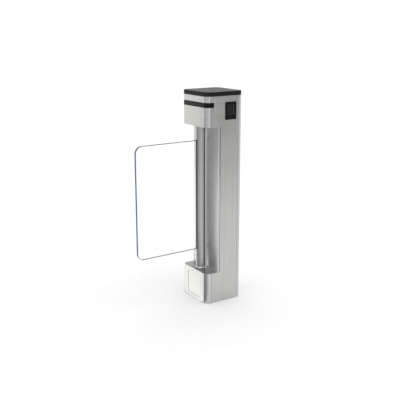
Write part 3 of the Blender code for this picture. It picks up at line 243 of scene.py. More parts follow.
@shared("Pitch", 0.0003)
def turning_marks(nodes, pitch):
    """The fine rings that a lathe leaves round an axis along Z, on round sides and on end faces."""
    x, y, z = nodes.add("SeparateXYZ", {0: nodes.vector})
    run = nodes.math("DIVIDE", nodes.math("ADD", nodes.radius(x, y), z), pitch)
    nodes.vector = nodes.add("CombineXYZ", {0: run, 1: 0.0, 2: 0.0})[0]
    return {"Height": nodes.noise(1.0, 3.0)}


# Finishes


dust_on_steel = (0.42, 0.40, 0.37)
dust_on_zinc = (0.36, 0.34, 0.31)
dust_on_plastic = (0.30, 0.29, 0.27)
dust_on_rubber = (0.25, 0.24, 0.22)
painted_groove_light = (0.97, 0.97, 0.97)
warm_zinc = (0.60, 0.56, 0.46)
rubbed_zinc = (0.80, 0.80, 0.80)
rubbed_casting = (0.86, 0.86, 0.86)
tinned_pad = (0.55, 0.53, 0.46)
black = (0.0, 0.0, 0.0, 1.0)
white = (1.0, 1.0, 1.0, 1.0)
acrylic_ior = 1.49

# Where most values of a noise lie, and a narrower band in their middle
noise_most = (0.3, 0.7)
noise_middle = (0.35, 0.65)


def toned(colour, factor, added=0.0):
    """A colour made lighter or darker: each value times a factor, plus a little, and at most 1."""
    return tuple(min(1.0, factor * value + added) for value in colour)


class Look(Nodes):
    """A material whose textures follow the object's own coordinates."""

    def __init__(self, name):
        self.material = bpy.data.materials.new(name)
        self.material.use_nodes = True
        super().__init__(self.material.node_tree)
        self.vector = self.add("TexCoord")["Object"]

    def shade(self, base, rough, others=(), bump=()):
        """The material, once its shader has a colour, a roughness, its other inputs, and a bump of a
        height, a strength and a distance."""
        inputs = {"Base Color": base, "Roughness": rough, **dict(others)}
        if bump:
            inputs["Normal"] = self.add("Bump", zip(("Height", "Strength", "Distance"), bump))[0]
        self.feed(self.tree.nodes["Principled BSDF"], inputs)
        return self.material


def brushed_metal(name, colour, stretch, roughness, spread=0.10, smudge=0.10, dusty=0.0, depth=6e-6,
                  satin=0.0):
    """Brushed metal: scratches along one direction change its roughness, colour and normal. Within the
    given radius round the tube's axis it is dull, and its colour is painted pale: painted light in the
    shaded groove behind the tube and on the lips beside it."""
    look = Look(name)
    lines = look.use(brushed_grain, Stretch=stretch)
    wiped = look.use(smudges, Size=0.16)["Mask"]
    half = spread / 2
    rough = look.carry(lines["Scratch"], *noise_most, roughness - half, roughness + half)
    rough = look.more(wiped, smudge, rough)
    tone = look.carry(lines["Streak"], *noise_most)
    base = look.mix(tone, toned(colour, 0.90), colour)
    if dusty:
        lying = look.use(dust, Amount=dusty)["Mask"]
        base = look.mix(lying, base, dust_on_steel)
        rough = look.more(lying, 0.3, rough)
    if satin:
        x, y, z = look.add("SeparateXYZ", {0: look.vector})
        reach = look.radius(look.math("SUBTRACT", x, tube_axis), y)
        # Painted light: a pale colour round the tube's axis, where the groove and its lips lie in shade;
        # the added roughness is the satin finish
        inside = look.carry(reach, satin, satin + 0.005, 1.0, 0.0)
        base = look.mix(inside, base, painted_groove_light)
        rough = look.more(inside, 0.40, rough)
    return look.shade(base, rough, {"Metallic": 1.0}, (lines["Scratch"], 0.35, depth))


def turned_metal(name, colour, roughness, axis_x=0.0):
    """Metal from a lathe: fine rings round its own axis."""
    look = Look(name)
    place = {"Vector": look.vector, "Location": (-axis_x, 0.0, 0.0)}
    rings = look.use(turning_marks, Vector=look.add("Mapping", place)[0], Pitch=0.0003)["Height"]
    wiped = look.use(smudges, Size=0.02)["Mask"]
    rough = look.carry(rings, *noise_most, roughness - 0.06, roughness + 0.06)
    rough = look.more(wiped, 0.12, rough)
    base = look.mix(wiped, colour, toned(colour, 0.78))
    return look.shade(base, rough, {"Metallic": 1.0}, (rings, 0.5, 1e-5))


def plated_metal(name, colour, roughness=0.38):
    """Zinc plating: soft crystal patches, a faint warm tone in places, dust and rubbed edges."""
    look = Look(name)
    cells = look.add("TexVoronoi", {"Vector": look.vector, "Scale": 240.0})["Color"]
    patch = look.add("SeparateColor", {0: cells})[0]
    warm = look.carry(look.noise(22.0), 0.4, 0.65)
    lying = look.use(dust, Amount=0.45)["Mask"]
    rubbed = look.use(edge_wear, Amount=0.6)["Mask"]
    base = look.mix(patch, colour, toned(colour, 1.10))
    base = look.mix(look.times(warm, 0.5), base, warm_zinc)
    base = look.mix(lying, base, dust_on_zinc)
    base = look.mix(rubbed, base, rubbed_zinc)
    rough = look.carry(patch, 0.0, 1.0, roughness - 0.05, roughness + 0.07)
    rough = look.more(lying, 0.35, rough)
    return look.shade(base, rough, {"Metallic": 0.95}, (patch, 0.15, 2e-5))


def cast_metal(name, colour):
    """Cast aluminium: a pored skin, darker in its pores and brighter along its edges."""
    look = Look(name)
    skin = look.use(moulded_grain, Size=0.0011)
    rubbed = look.use(edge_wear, Amount=0.9)["Mask"]
    tone = look.carry(skin["Height"], 0.5, 1.0)
    base = look.mix(tone, toned(colour, 0.70), colour)
    base = look.mix(rubbed, base, rubbed_casting)
    rough = look.carry(skin["Cloud"], *noise_most, 0.42, 0.60)
    return look.shade(base, rough, {"Metallic": 0.95}, (skin["Height"], 0.5, 8e-5))


def moulded_plastic(name, colour, roughness, depth=4e-5, dusty=0.25, shine=0.5):
    """Moulded plastic: a fine pebbled skin, faint clouds of handling, pale rubbed edges and dust."""
    look = Look(name)
    skin = look.use(moulded_grain, Size=0.0006)
    rubbed = look.use(edge_wear, Amount=0.4)["Mask"]
    lying = look.use(dust, Amount=dusty)["Mask"]
    tone = look.carry(skin["Cloud"], *noise_middle)
    base = look.mix(tone, colour, toned(colour, 1.35, 0.004))
    base = look.mix(rubbed, base, toned(colour, 1.0, 0.10))
    base = look.mix(lying, base, dust_on_plastic)
    rough = look.carry(skin["Cloud"], *noise_most, roughness - 0.05, roughness + 0.07)
    rough = look.more(lying, 0.3, rough)
    return look.shade(base, rough, {"Specular IOR Level": shine}, (skin["Height"], 0.5, depth))


def glossy_cover(name, colour, light, roughness, shine):
    """Glossy acrylic laid over a dark ground: a mottled tone, wiping marks and a faint ripple."""
    look = Look(name)
    wiped = look.use(smudges, Size=0.05)["Mask"]
    mottle = look.carry(look.noise(60.0, 5.0, 0.65), 0.35, 0.7)
    base = look.mix(mottle, colour, light)
    rough = look.more(wiped, 0.10, roughness)
    ripple = look.use(brushed_grain, Stretch=(420.0, 420.0, 420.0))["Streak"]
    return look.shade(base, rough, {"Specular IOR Level": shine}, (ripple, 0.10, 5e-5))


def rubber(name, colour):
    """Dull rubber with a powdery bloom."""
    look = Look(name)
    skin = look.use(moulded_grain, Size=0.0008)
    lying = look.use(dust, Amount=0.6)["Mask"]
    bloom = look.carry(look.noise(120.0), 0.45, 0.75, 0.0, 0.5)
    base = look.mix(bloom, colour, toned(colour, 1.0, 0.035))
    base = look.mix(lying, base, dust_on_rubber)
    rough = look.carry(skin["Cloud"], *noise_most, 0.70, 0.88)
    return look.shade(base, rough, (), (skin["Height"], 0.6, 5e-5))


def clear_sheet(name, colour, roughness):
    """Clear acrylic: faint wiping marks on a smooth surface."""
    look = Look(name)
    wiped = look.use(smudges, Size=0.12)["Mask"]
    tint = look.carry(look.noise(6.0, 3.0, 0.5), *noise_most)
    base = look.mix(tint, colour, toned(colour, 1.0, 0.012))
    rough = look.more(wiped, 0.025, roughness)
    return look.shade(base, rough, {"Transmission Weight": 1.0, "IOR": acrylic_ior})


def sheet_rim(name, blue, grey, pale):
    """The sawn and polished edge of the acrylic, its colours painted light and shade: deep blue along
    the free upright edge, painted for the light trapped along the sheet, dark grey painted shade round
    its upper corner and along its top, and paler at its foot, painted light."""
    look = Look(name)
    x, y, z = look.add("SeparateXYZ", {0: look.vector})
    upright = look.carry(x, free_edge_x + 0.0012, free_edge_x + 0.006, 1.0, 0.0)
    # Painted light and shade: the foot is painted paler and the top dark grey, as light falls on the
    # edge
    lower = look.carry(z, 0.42, 0.52, 1.0, 0.0)
    cloud = look.noise(90.0)
    uneven = look.times(upright, look.carry(cloud, *noise_middle, 0.75, 1.0))
    base = look.mix(lower, grey, pale)
    base = look.mix(uneven, base, blue)
    rough = look.carry(cloud, *noise_most, 0.12, 0.22)
    others = {"Transmission Weight": 0.10, "Specular IOR Level": 0.25, "IOR": acrylic_ior}
    return look.shade(base, rough, others)


def opal_strip(name, colour):
    """The milky strip of a lamp that is off, a little uneven in tone."""
    look = Look(name)
    tone = look.carry(look.noise(180.0, 3.0), *noise_middle)
    base = look.mix(tone, toned(colour, 0.82), colour)
    return look.shade(base, look.carry(tone, 0.0, 1.0, 0.25, 0.35))


def circuit_board(name, colour):
    """Green solder mask over copper: straight tracks and small round pads show through."""
    look = Look(name)
    upright = look.add("Mapping", {"Vector": look.vector, "Rotation": (0, np.pi / 2, 0)})[0]
    bricks = {"Vector": upright, "Scale": 90.0, "Brick Width": 0.9, "Row Height": 0.22, "Bias": 0.0}
    bricks.update({"Mortar Size": 0.05, "Mortar Smooth": 0.1})
    bricks.update({"Color1": black, "Color2": black, "Mortar": white})
    tracks = look.add("TexBrick", bricks)["Color"]
    spots = look.add("TexVoronoi", {"Vector": look.vector, "Scale": 210.0, "Randomness": 0.5})[0]
    pads = look.carry(spots, 0.16, 0.20, 1.0, 0.0)
    base = look.mix(tracks, colour, toned(colour, 1.7, 0.01))
    base = look.mix(pads, base, tinned_pad)
    rough = look.carry(pads, 0.0, 1.0, 0.32, 0.45)
    return look.shade(base, rough, {"Metallic": look.times(pads, 0.8)}, (tracks, 0.3, 4e-5))


# How often the scratches repeat along each axis: finely across the brushing, seldom along it
along_z = (2600.0, 2600.0, 14.0)
along_y = (2600.0, 14.0, 2600.0)
all_ways = (900.0, 900.0, 900.0)

panel_steel = brushed_metal("panel_steel", (0.58, 0.58, 0.575), along_z, 0.32)
lane_steel = brushed_metal("lane_steel", (0.63, 0.63, 0.625), along_z, 0.27, 0.08, 0.03)
tube_steel = brushed_metal("tube_steel", (0.46, 0.46, 0.46), along_z, 0.30, 0.06, 0.05, depth=3e-6)
# Round the tube's axis the column's colour is painted pale: painted light in the shaded groove and on
# its lips
column_steel = brushed_metal("column_steel", (0.56, 0.56, 0.56), along_z, 0.16, 0.05, 0.05, depth=2e-6,
                             satin=groove_radius + 0.011)
# The deck's colour is darkened to about half that of the other steel: painted shade where it lies under
# the head beside the tube
deck_steel_painted_shade = brushed_metal("deck_steel_painted_shade", (0.29, 0.29, 0.288), along_y, 0.26, 0.08, 0.08, 0.10)
floor_steel = brushed_metal("floor_steel", (0.55, 0.55, 0.55), along_y, 0.34)
collar_steel = turned_metal("collar_steel", (0.80, 0.80, 0.80), 0.16, tube_axis)
shaft_steel = turned_metal("shaft_steel", (0.52, 0.52, 0.53), 0.28, tube_axis)
motor_shaft_steel = turned_metal("motor_shaft_steel", (0.52, 0.52, 0.53), 0.28, motor_axis)
screw_steel = turned_metal("screw_steel", (0.50, 0.50, 0.50), 0.30)
lock_steel = brushed_metal("lock_steel", (0.26, 0.26, 0.27), all_ways, 0.24)
zinc = plated_metal("zinc", (0.56, 0.57, 0.58))
supply_case = plated_metal("supply_case", (0.60, 0.60, 0.60), 0.42)
casting = cast_metal("casting", (0.60, 0.61, 0.62))
cap_plastic = moulded_plastic("cap_plastic", (0.003, 0.003, 0.004), 0.34, shine=0.07)
reader_plastic = moulded_plastic("reader_plastic", (0.003, 0.003, 0.004), 0.36, dusty=0.1, shine=0.07)
case_plastic = moulded_plastic("case_plastic", (0.030, 0.030, 0.032), 0.45)
panel_gloss = glossy_cover("panel_gloss", (0.026, 0.026, 0.026), (0.034, 0.034, 0.034), 0.34, 0.055)
band_gloss = glossy_cover("band_gloss", (0.003, 0.003, 0.004), (0.006, 0.006, 0.007), 0.12, 0.18)
window_gloss = glossy_cover("window_gloss", (0.008, 0.008, 0.009), (0.018, 0.018, 0.019), 0.10, 0.35)
strip_opal = opal_strip("strip_opal", (0.060, 0.061, 0.063))
lens_red = opal_strip("lens_red", (0.42, 0.030, 0.022))
lens_green = opal_strip("lens_green", (0.030, 0.30, 0.060))
relay_plastic = moulded_plastic("relay_plastic", (0.045, 0.060, 0.11), 0.40)
sleeve = moulded_plastic("sleeve", (0.018, 0.020, 0.035), 0.32, depth=1e-5)
solder_tin = plated_metal("solder_tin", (0.62, 0.62, 0.63), 0.30)
soft_rubber = rubber("soft_rubber", (0.020, 0.020, 0.020))
seal_rubber = rubber("seal_rubber", (0.075, 0.075, 0.077))
clear_acrylic = clear_sheet("clear_acrylic", (0.975, 0.99, 0.995), 0.015)
# The rim's colours are painted light and shade of the acrylic's edge
blue_edge = sheet_rim("blue_edge", (0.004, 0.105, 0.25), (0.012, 0.015, 0.017), (0.150, 0.165, 0.170))
board_mask = circuit_board("board_mask", (0.012, 0.085, 0.035))
terminal_plastic = moulded_plastic("terminal_plastic", (0.035, 0.22, 0.075), 0.38)


# Mesh work


def arc(centre, radius, start, end, steps):
    """Points of an arc between two angles in degrees: centre + radius times (cosine, sine)."""
    angle = np.radians(np.linspace(start, end, steps + 1))
    return np.array(centre) + radius * np.column_stack([np.cos(angle), np.sin(angle)])


def rounded_outline(low, high, radius, steps=corner_steps):
    """A rectangle between two corners, its own corners quarter circles, counter-clockwise."""
    corners = [(high[0], high[1]), (low[0], high[1]), (low[0], low[1]), (high[0], low[1])]
    inward = [(-1, -1), (1, -1), (1, 1), (-1, 1)]
    quarters = [
        arc(np.array(corner) + radius * np.array(turn), radius, 90 * k, 90 * k + 90, steps)
        for k, (corner, turn) in enumerate(zip(corners, inward))
    ]
    return np.vstack(quarters)


def offset_path(path, distance, wrap=False):
    """A path moved to its right: each point goes along the mean of its two edges' normals, divided by
    the cosine of half the turn there, so that straight runs stay parallel."""
    step = np.roll(path, -1, axis=0) - path if wrap else np.diff(path, axis=0)
    normal = np.column_stack([step[:, 1], -step[:, 0]])
    normal /= np.linalg.norm(normal, axis=1, keepdims=True)
    before = np.roll(normal, 1, axis=0) if wrap else np.vstack([normal[:1], normal])
    after = normal if wrap else np.vstack([normal, normal[-1:]])
    mean = before + after
    mean /= np.linalg.norm(mean, axis=1, keepdims=True)
    return path + distance * mean / np.sum(mean * after, axis=1, keepdims=True)


def with_stops(path, axis, stops):
    """A path with a point added on each straight edge where one coordinate passes a given stop."""
    stops = np.asarray(stops, float)
    first = path[:-1, axis, None]
    last = path[1:, axis, None]
    below = np.minimum(first, last) < stops - same_place
    above = np.maximum(first, last) > stops + same_place
    edge, stop = np.nonzero(below & above)
    share = (stops[stop] - path[edge, axis]) / (path[edge + 1, axis] - path[edge, axis])
    added = path[edge] + share[:, None] * (path[edge + 1] - path[edge])
    order = np.concatenate([np.arange(len(path)), edge + share])
    return np.vstack([path, added])[np.argsort(order, kind="stable")]


def enclosed(points, faces):
    """The volume inside a closed surface: a sixth of the sum of its triangles' triple products."""
    total = 0.0
    for group in faces:
        corners = points[group]
        first = corners[:, 0]
        for k in range(1, group.shape[1] - 1):
            total += np.sum(first * np.cross(corners[:, k], corners[:, k + 1]))
    return total / 6.0


def piece(name, points, faces, finishes, node=None, body="cabinet", marks=None, round_by=0.0,
          weld=False):
    """A closed mesh as one piece of the gate, in place of a solid's node where one is named. faces is a
    list of index arrays, marks gives each face's material, and the faces are turned to point outwards
    where the volume inside comes out negative."""
    points = np.asarray(points, float).reshape(-1, 3)
    faces = [np.asarray(group) for group in faces if len(group)]
    if enclosed(points, faces) < 0:
        faces = [group[:, ::-1] for group in faces]
    used = np.unique(np.concatenate([group.ravel() for group in faces]))
    place = np.zeros(len(points), int)
    place[used] = np.arange(len(used))
    corners = [face for group in faces for face in place[group].tolist()]
    mesh = bpy.data.meshes.new(name)
    mesh.from_pydata(points[used].tolist(), [], corners)
    for finish in finishes:
        mesh.materials.append(finish)
    if marks is not None:
        mesh.polygons.foreach_set("material_index", np.concatenate(marks).astype(np.int32))
    mesh.update()
    mesh.shade_smooth()
    made = bpy.data.objects.new(name, mesh)
    bpy.context.collection.objects.link(made)
    if weld:
        merge = made.modifiers.new("merge", "WELD")
        merge.merge_threshold = same_place
    if round_by:
        bevel = made.modifiers.new("edges", "BEVEL")
        bevel.width = round_by
        bevel.segments = bevel_segments
        bevel.limit_method = "ANGLE"
        bevel.angle_limit = np.radians(smooth_angle)
        bevel.harden_normals = True
    else:
        mesh.set_sharp_from_angle(angle=np.radians(smooth_angle))
    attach(made, body)
    if node:
        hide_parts(node)
    return made


def sheet_faces(cells, rows, shift):
    """The faces of a sheet with two sides: an outer and an inner quad for each cell that is there, and
    a wall where a cell has no neighbour. shift is the number of points on one side."""
    count = cells.shape[0]
    present = np.pad(cells, 1)
    i, j = np.nonzero(cells)
    a = i * rows + j
    b = ((i + 1) % (shift // rows)) * rows + j
    c = b + 1
    d = a + 1
    quads = [np.column_stack([a, b, c, d]), np.column_stack([a, d, c, b]) + shift]
    left = present[i, j + 1]
    right = present[i + 2, j + 1]
    if count * rows == shift:
        left = cells[(i - 1) % count, j]
        right = cells[(i + 1) % count, j]
    low = present[i + 1, j]
    high = present[i + 1, j + 2]
    walls = [(left, a, d), (right, c, b), (low, b, a), (high, d, c)]
    for there, first, second in walls:
        open_edge = ~there
        p = first[open_edge]
        q = second[open_edge]
        quads.append(np.column_stack([p, q, q + shift, p + shift]))
    return [np.vstack(quads)]


def folded_sheet(name, path, heights, finish, node, holes=(), thickness=sheet, body="cabinet",
                 wrap=False):
    """A bent sheet: a path in plan times a row of heights, its outside on the right of the path and its
    inside the same grid moved in by the thickness. Cells with their middle in a hole are left out."""
    heights = np.unique(np.round(heights, 7))
    sides = []
    for line in (path, offset_path(path, -thickness, wrap)):
        plan = np.repeat(line[:, None, :], len(heights), axis=1)
        level = np.broadcast_to(heights[None, :, None], plan.shape[:2] + (1,))
        sides.append(np.concatenate([plan, level], axis=2))
    outer = sides[0]
    following = np.roll(outer, -1, axis=0) if wrap else outer[1:]
    first = outer if wrap else outer[:-1]
    middle = (first[:, :-1] + following[:, 1:]) / 2
    cells = np.ones(middle.shape[:2], bool)
    for low, high in holes:
        cells &= ~np.all((middle > low) & (middle < high), axis=2)
    faces = sheet_faces(cells, len(heights), len(path) * len(heights))
    return piece(name, np.concatenate(sides), faces, [finish], node, body, round_by=sheet_edge)


def loft_faces(count, size):
    """The quads between rings of points that follow each other, and a cap on the first and the last."""
    ring, step = np.meshgrid(np.arange(count - 1), np.arange(size), indexing="ij")
    a = ring * size + step
    b = ring * size + (step + 1) % size
    sides = np.stack([a, b, b + size, a + size], axis=-1).reshape(-1, 4)
    first = np.arange(size)[None, ::-1]
    last = (count - 1) * size + np.arange(size)[None, :]
    return sides, first, last


def layered(outline, layers):
    """Rings of points: the outline moved in by each layer's inset, at that layer's height."""
    rings = [
        np.column_stack([offset_path(outline, -inset, True), np.full(len(outline), height)])
        for inset, height in layers
    ]
    return np.array(rings)


def rolled_edge(face, inward, radius):
    """The insets and heights of a round edge, from a side onto the face: a quarter circle, with a
    support ring before and after it. inward is the sign of the way from the face into the solid."""
    angle = np.radians(np.linspace(90, 0, edge_steps + 1))
    insets = radius * (1 - np.sin(angle))
    heights = face + inward * radius * (1 - np.cos(angle))
    start = face + inward * radius + inward * support
    return [(0.0, start), *zip(insets, heights), (radius + support, face)]


def rounded_layers(low, high, edge):
    """The insets and heights of a slab with round edges."""
    return rolled_edge(low, 1, edge)[::-1] + rolled_edge(high, -1, edge)


# Which columns of a ring's points are X, Y and Z when its thickness lies along one axis
axes = {"z": (0, 1, 2), "y": (0, 2, 1), "x": (2, 0, 1)}


def lofted(name, rings, axis, finishes, node=None, body="cabinet", marks=None):
    """A solid through rings of points, turned so that its thickness lies along one axis."""
    points = rings.reshape(-1, 3)[:, list(axes[axis])]
    return piece(name, points, loft_faces(*rings.shape[:2]), finishes, node, body, marks)


def slab(name, axis, low, high, radius, steps, levels, edge, finish, node=None):
    """A plate with round corners and round edges, between two levels along one axis."""
    outline = rounded_outline(low, high, radius, steps)
    lofted(name, layered(outline, rounded_layers(*levels, edge)), axis, [finish], node)


def turned(name, profile, centre, axis, steps, finish, node=None, body="cabinet"):
    """A turned piece: each point of the profile, as radius and height, carried round a circle. A
    profile with no point on the axis closes on itself as a ring."""
    profile = np.asarray(profile, float)
    angle = np.linspace(0, 2 * np.pi, steps, endpoint=False)
    x = centre[0] + profile[:, :1] * np.cos(angle)
    y = centre[1] + profile[:, :1] * np.sin(angle)
    z = np.broadcast_to(centre[2] + profile[:, 1:], x.shape)
    points = np.stack([x, y, z], axis=-1).reshape(-1, 3)[:, list(axes[axis])]
    sides, first, last = loft_faces(len(profile), steps)
    faces = [sides]
    if profile[:, 0].min() > 0:
        start = last[0]
        end = first[0, ::-1]
        faces.append(np.column_stack([start, np.roll(start, -1), np.roll(end, -1), end]))
    piece(name, points, faces, [finish], node, body, weld=True)


def dress(finish, *nodes):
    """A finish for solids that are shown as they are."""
    for node in nodes:
        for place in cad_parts[node].material_slots:
            place.material = finish


# Cabinet


# A hole's box reaches this far where nothing bounds it
everywhere = 1.0
base_low, base_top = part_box("base_lane_cover")
head_bottom, head_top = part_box("head_lane_cover")
cap_bottom, cap_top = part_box("top_cover")
band_bottom, band_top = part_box("light_band")
plate_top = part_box("base_plate")[1].z + seat_gap
deck_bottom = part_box("base_deck")[0].z - seat_gap
head_floor_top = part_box("head_floor")[1].z + seat_gap
base_height = base_top.z
head_low = head_bottom.z
rim = head_top.z
band_edges = (band_bottom.z - seat_gap, band_top.z + seat_gap)
band_reach = band_top.x + seat_gap
band_depth = 0.0033


def cover_path():
    """The plan of a cover that wraps the two corners on the +X side, with its returns."""
    fold = joint_x + joint_gap / 2
    near = half_depth - bend_radius
    inner = half_depth - return_depth
    corner = (half_width - corner_radius, half_depth - corner_radius)
    runs = [
        [(fold, -inner)],
        arc((fold + bend_radius, -near), bend_radius, 180, 270, bend_steps),
        arc((corner[0], -corner[1]), corner_radius, 270, 360, corner_steps),
        arc(corner, corner_radius, 0, 90, corner_steps),
        arc((fold + bend_radius, near), bend_radius, 90, 180, bend_steps),
        [(fold, inner)],
    ]
    return np.vstack(runs)


def side_path():
    """The plan of the side panel on the reader's side: flat, with a return along each edge."""
    fold = joint_x - joint_gap / 2
    near = -half_depth + bend_radius
    inner = -half_depth + return_depth
    runs = [
        [(-fold, inner)],
        arc((-fold + bend_radius, near), bend_radius, 180, 270, bend_steps),
        arc((fold - bend_radius, near), bend_radius, 270, 360, bend_steps),
        [(fold, inner)],
    ]
    return np.vstack(runs)


def return_relief(side, low, high):
    """A box round the returns at one joint, where a plate passes them."""
    reach = half_depth - bend_radius
    margin = 0.004
    return (side * joint_x - margin, -reach, low), (side * joint_x + margin, reach, high)


def band_hole():
    """Boxes round the slot that the light band lies in: its front, and its two tails."""
    low, high = band_edges
    inside = half_depth - band_depth
    front = ((-everywhere, -everywhere, low), (-half_width + corner_radius, everywhere, high))
    near = ((-everywhere, -everywhere, low), (band_reach, -inside, high))
    far = ((-everywhere, inside, low), (band_reach, everywhere, high))
    return [front, near, far]


def side_panels():
    """Both side panels: one path, mirrored for the far side. The near one has the reader's opening."""
    recess = ((-everywhere, -everywhere, base_height), (recess_edge_x, everywhere, head_low))
    holes = [
        recess,
        return_relief(-1, -everywhere, plate_top),
        return_relief(1, -everywhere, plate_top),
        return_relief(-1, deck_bottom, base_height),
        return_relief(-1, head_low, head_floor_top),
        *band_hole(),
    ]
    cut_low, cut_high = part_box("reader_bezel")
    lip = 0.0025
    cut_x = [cut_low.x + lip, cut_high.x - lip]
    cut_z = [cut_low.z + lip, cut_high.z - lip]
    reader_hole = ((cut_x[0], -everywhere, cut_z[0]), (cut_x[1], -half_depth + band_depth, cut_z[1]))
    levels = [base_low.z, plate_top, deck_bottom, base_height, head_low, head_floor_top]
    levels += [*band_edges, rim, *cut_z]
    near = with_stops(side_path(), 0, [recess_edge_x, band_reach, *cut_x])
    folded_sheet("reader_side_panel_skin", near, levels, panel_steel,
                 "reader_side_panel", holes + [reader_hole])
    folded_sheet("far_side_panel_skin", near[::-1] * (1, -1), levels, panel_steel,
                 "far_side_panel", holes)


def wrap_covers():
    """The back panel and the two lane covers: one path, turned by half a turn for the lane side."""
    back = cover_path()
    lane = -back
    low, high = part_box("access_door")
    gap = 0.001
    reach = 0.068
    doorway = ((0.0, -reach, low.z - gap), (everywhere, reach, high.z + gap))
    levels = [base_low.z, plate_top, doorway[0][2], doorway[1][2], rim]
    holes = [doorway, return_relief(1, -everywhere, plate_top)]
    folded_sheet("back_panel_skin", with_stops(back, 1, [-reach, reach]), levels, panel_steel,
                 "back_panel", holes)

    low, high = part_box("base_access_cover")
    gap = 0.0004
    reach = high.y + gap
    window = ((-everywhere, -reach, low.z - gap), (0.0, reach, high.z + gap))
    levels = [base_low.z, plate_top, window[0][2], window[1][2], deck_bottom, base_height]
    holes = [window, return_relief(-1, -everywhere, plate_top)]
    holes += [return_relief(-1, deck_bottom, everywhere)]
    folded_sheet("base_lane_skin", with_stops(lane, 1, [-reach, reach]), levels, lane_steel,
                 "base_lane_cover", holes)

    levels = [head_low, head_floor_top, *band_edges, rim]
    holes = [*band_hole(), return_relief(-1, head_low, head_floor_top)]
    folded_sheet("head_lane_skin", with_stops(lane, 0, [band_reach]), levels, lane_steel,
                 "head_lane_cover", holes)


def column_path():
    """The plan of the column's face: laps, a quarter of an ellipse on each side and the groove round
    the tube, whose lips are arcs that touch both the face and the groove's circle. A lip's centre is
    one lip radius behind the face and one outside the groove's circle."""
    lip_x = recess_x - column_depth + groove_lip
    lip_y = np.sqrt((groove_radius + groove_lip) ** 2 - (lip_x - tube_axis) ** 2)
    lip_angle = np.degrees(np.arctan2(lip_y, lip_x - tube_axis))
    joggle = recess_edge_x - joint_gap
    inside_y = half_depth - sheet - seat_gap
    sweep = half_depth - lip_y - column_flat
    quarter = arc((0, 0), 1.0, 90, 180, 2 * corner_steps)
    upper = np.vstack([
        [(recess_edge_x + lap_length, inside_y), (joggle, inside_y)],
        [(joggle - joggle_length, half_depth)],
        (recess_x, half_depth - sweep) + quarter * (column_depth, sweep),
        arc((lip_x, lip_y), groove_lip, 180, 180 + lip_angle, bend_steps),
    ])
    groove = arc((tube_axis, 0), groove_radius, lip_angle, -lip_angle, groove_steps)[1:-1]
    return np.vstack([upper, groove, upper[::-1] * (1, -1)])


def column_skin():
    """The column's face: its plan times the heights of its foot and its top."""
    low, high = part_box("column_face")
    folded_sheet("column_skin", column_path(), [low.z, high.z], column_steel,
                 "column_face")


def tray(name, node, side, finish, body="cabinet"):
    """A sheet tray that looks along X: an outline whose layers run from the inner floor out over the
    lip, along the flange and round to the face."""
    low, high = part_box(node)
    bend = 0.0016
    least_radius = 0.0001
    steps = 6
    low_corner = np.array([low.y, low.z])
    high_corner = np.array([high.y, high.z])
    face, lip = (high.x, low.x) if side > 0 else (low.x, high.x)
    floor = face - side * sheet
    layers = [(bend + sheet + support, floor), (bend + sheet, floor)]
    layers += [(sheet, floor - side * 0.3 * bend), (sheet, lip), (0.0, lip)]
    layers += rolled_edge(face, -side, bend)
    rings = []
    for inset, depth in layers:
        radius = max(bend - inset, least_radius)
        outline = rounded_outline(low_corner + inset, high_corner - inset, radius, steps)
        rings.append(np.column_stack([outline, np.full(len(outline), depth)]))
    lofted(name, np.array(rings), "x", [finish], node, body)


def top_cap():
    """The moulded cap: from its hollow roof out, down the inner wall, up the outer wall, over the round
    edge and rim and down into the bed of its panel."""
    outline = rounded_outline((-half_width, -half_depth), (half_width, half_depth), corner_radius)
    low = cap_bottom.z
    high = cap_top.z
    wall = 0.003
    thickness = 0.004
    chamfer = 0.001
    edge = 0.0016
    bed = 0.0067
    floor = high - 0.0015
    fillet = 0.0004
    roof = high - thickness
    layers = [(wall + thickness, roof), (wall + chamfer, roof), (wall, roof - chamfer), (wall, low)]
    layers += [(0.0, low), *rolled_edge(high, -1, edge), (bed - fillet - support, high)]
    layers += [(bed - fillet, high), (bed, high - fillet), (bed, floor), (bed + support, floor)]
    lofted("top_cap", layered(outline, layers), "z", [cap_plastic], "top_cover")
    low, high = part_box("top_panel")
    slab("top_sheet", "z", low[:2], high[:2], corner_radius - 0.007, corner_steps, (low.z, high.z),
         0.0003, panel_gloss, "top_panel")


def band():
    """The black band: a bent strip in its slot round the lane side of the head."""
    end = band_top.x
    corner_x = -half_width + corner_radius
    corner_y = half_depth - corner_radius
    path = np.vstack([
        [(end, half_depth)],
        arc((corner_x, corner_y), corner_radius, 90, 180, corner_steps),
        arc((corner_x, -corner_y), corner_radius, 180, 270, corner_steps),
        [(end, -half_depth)],
    ])
    folded_sheet("black_band", path, [band_bottom.z, band_top.z], band_gloss,
                 "light_band", thickness=band_depth - seat_gap)


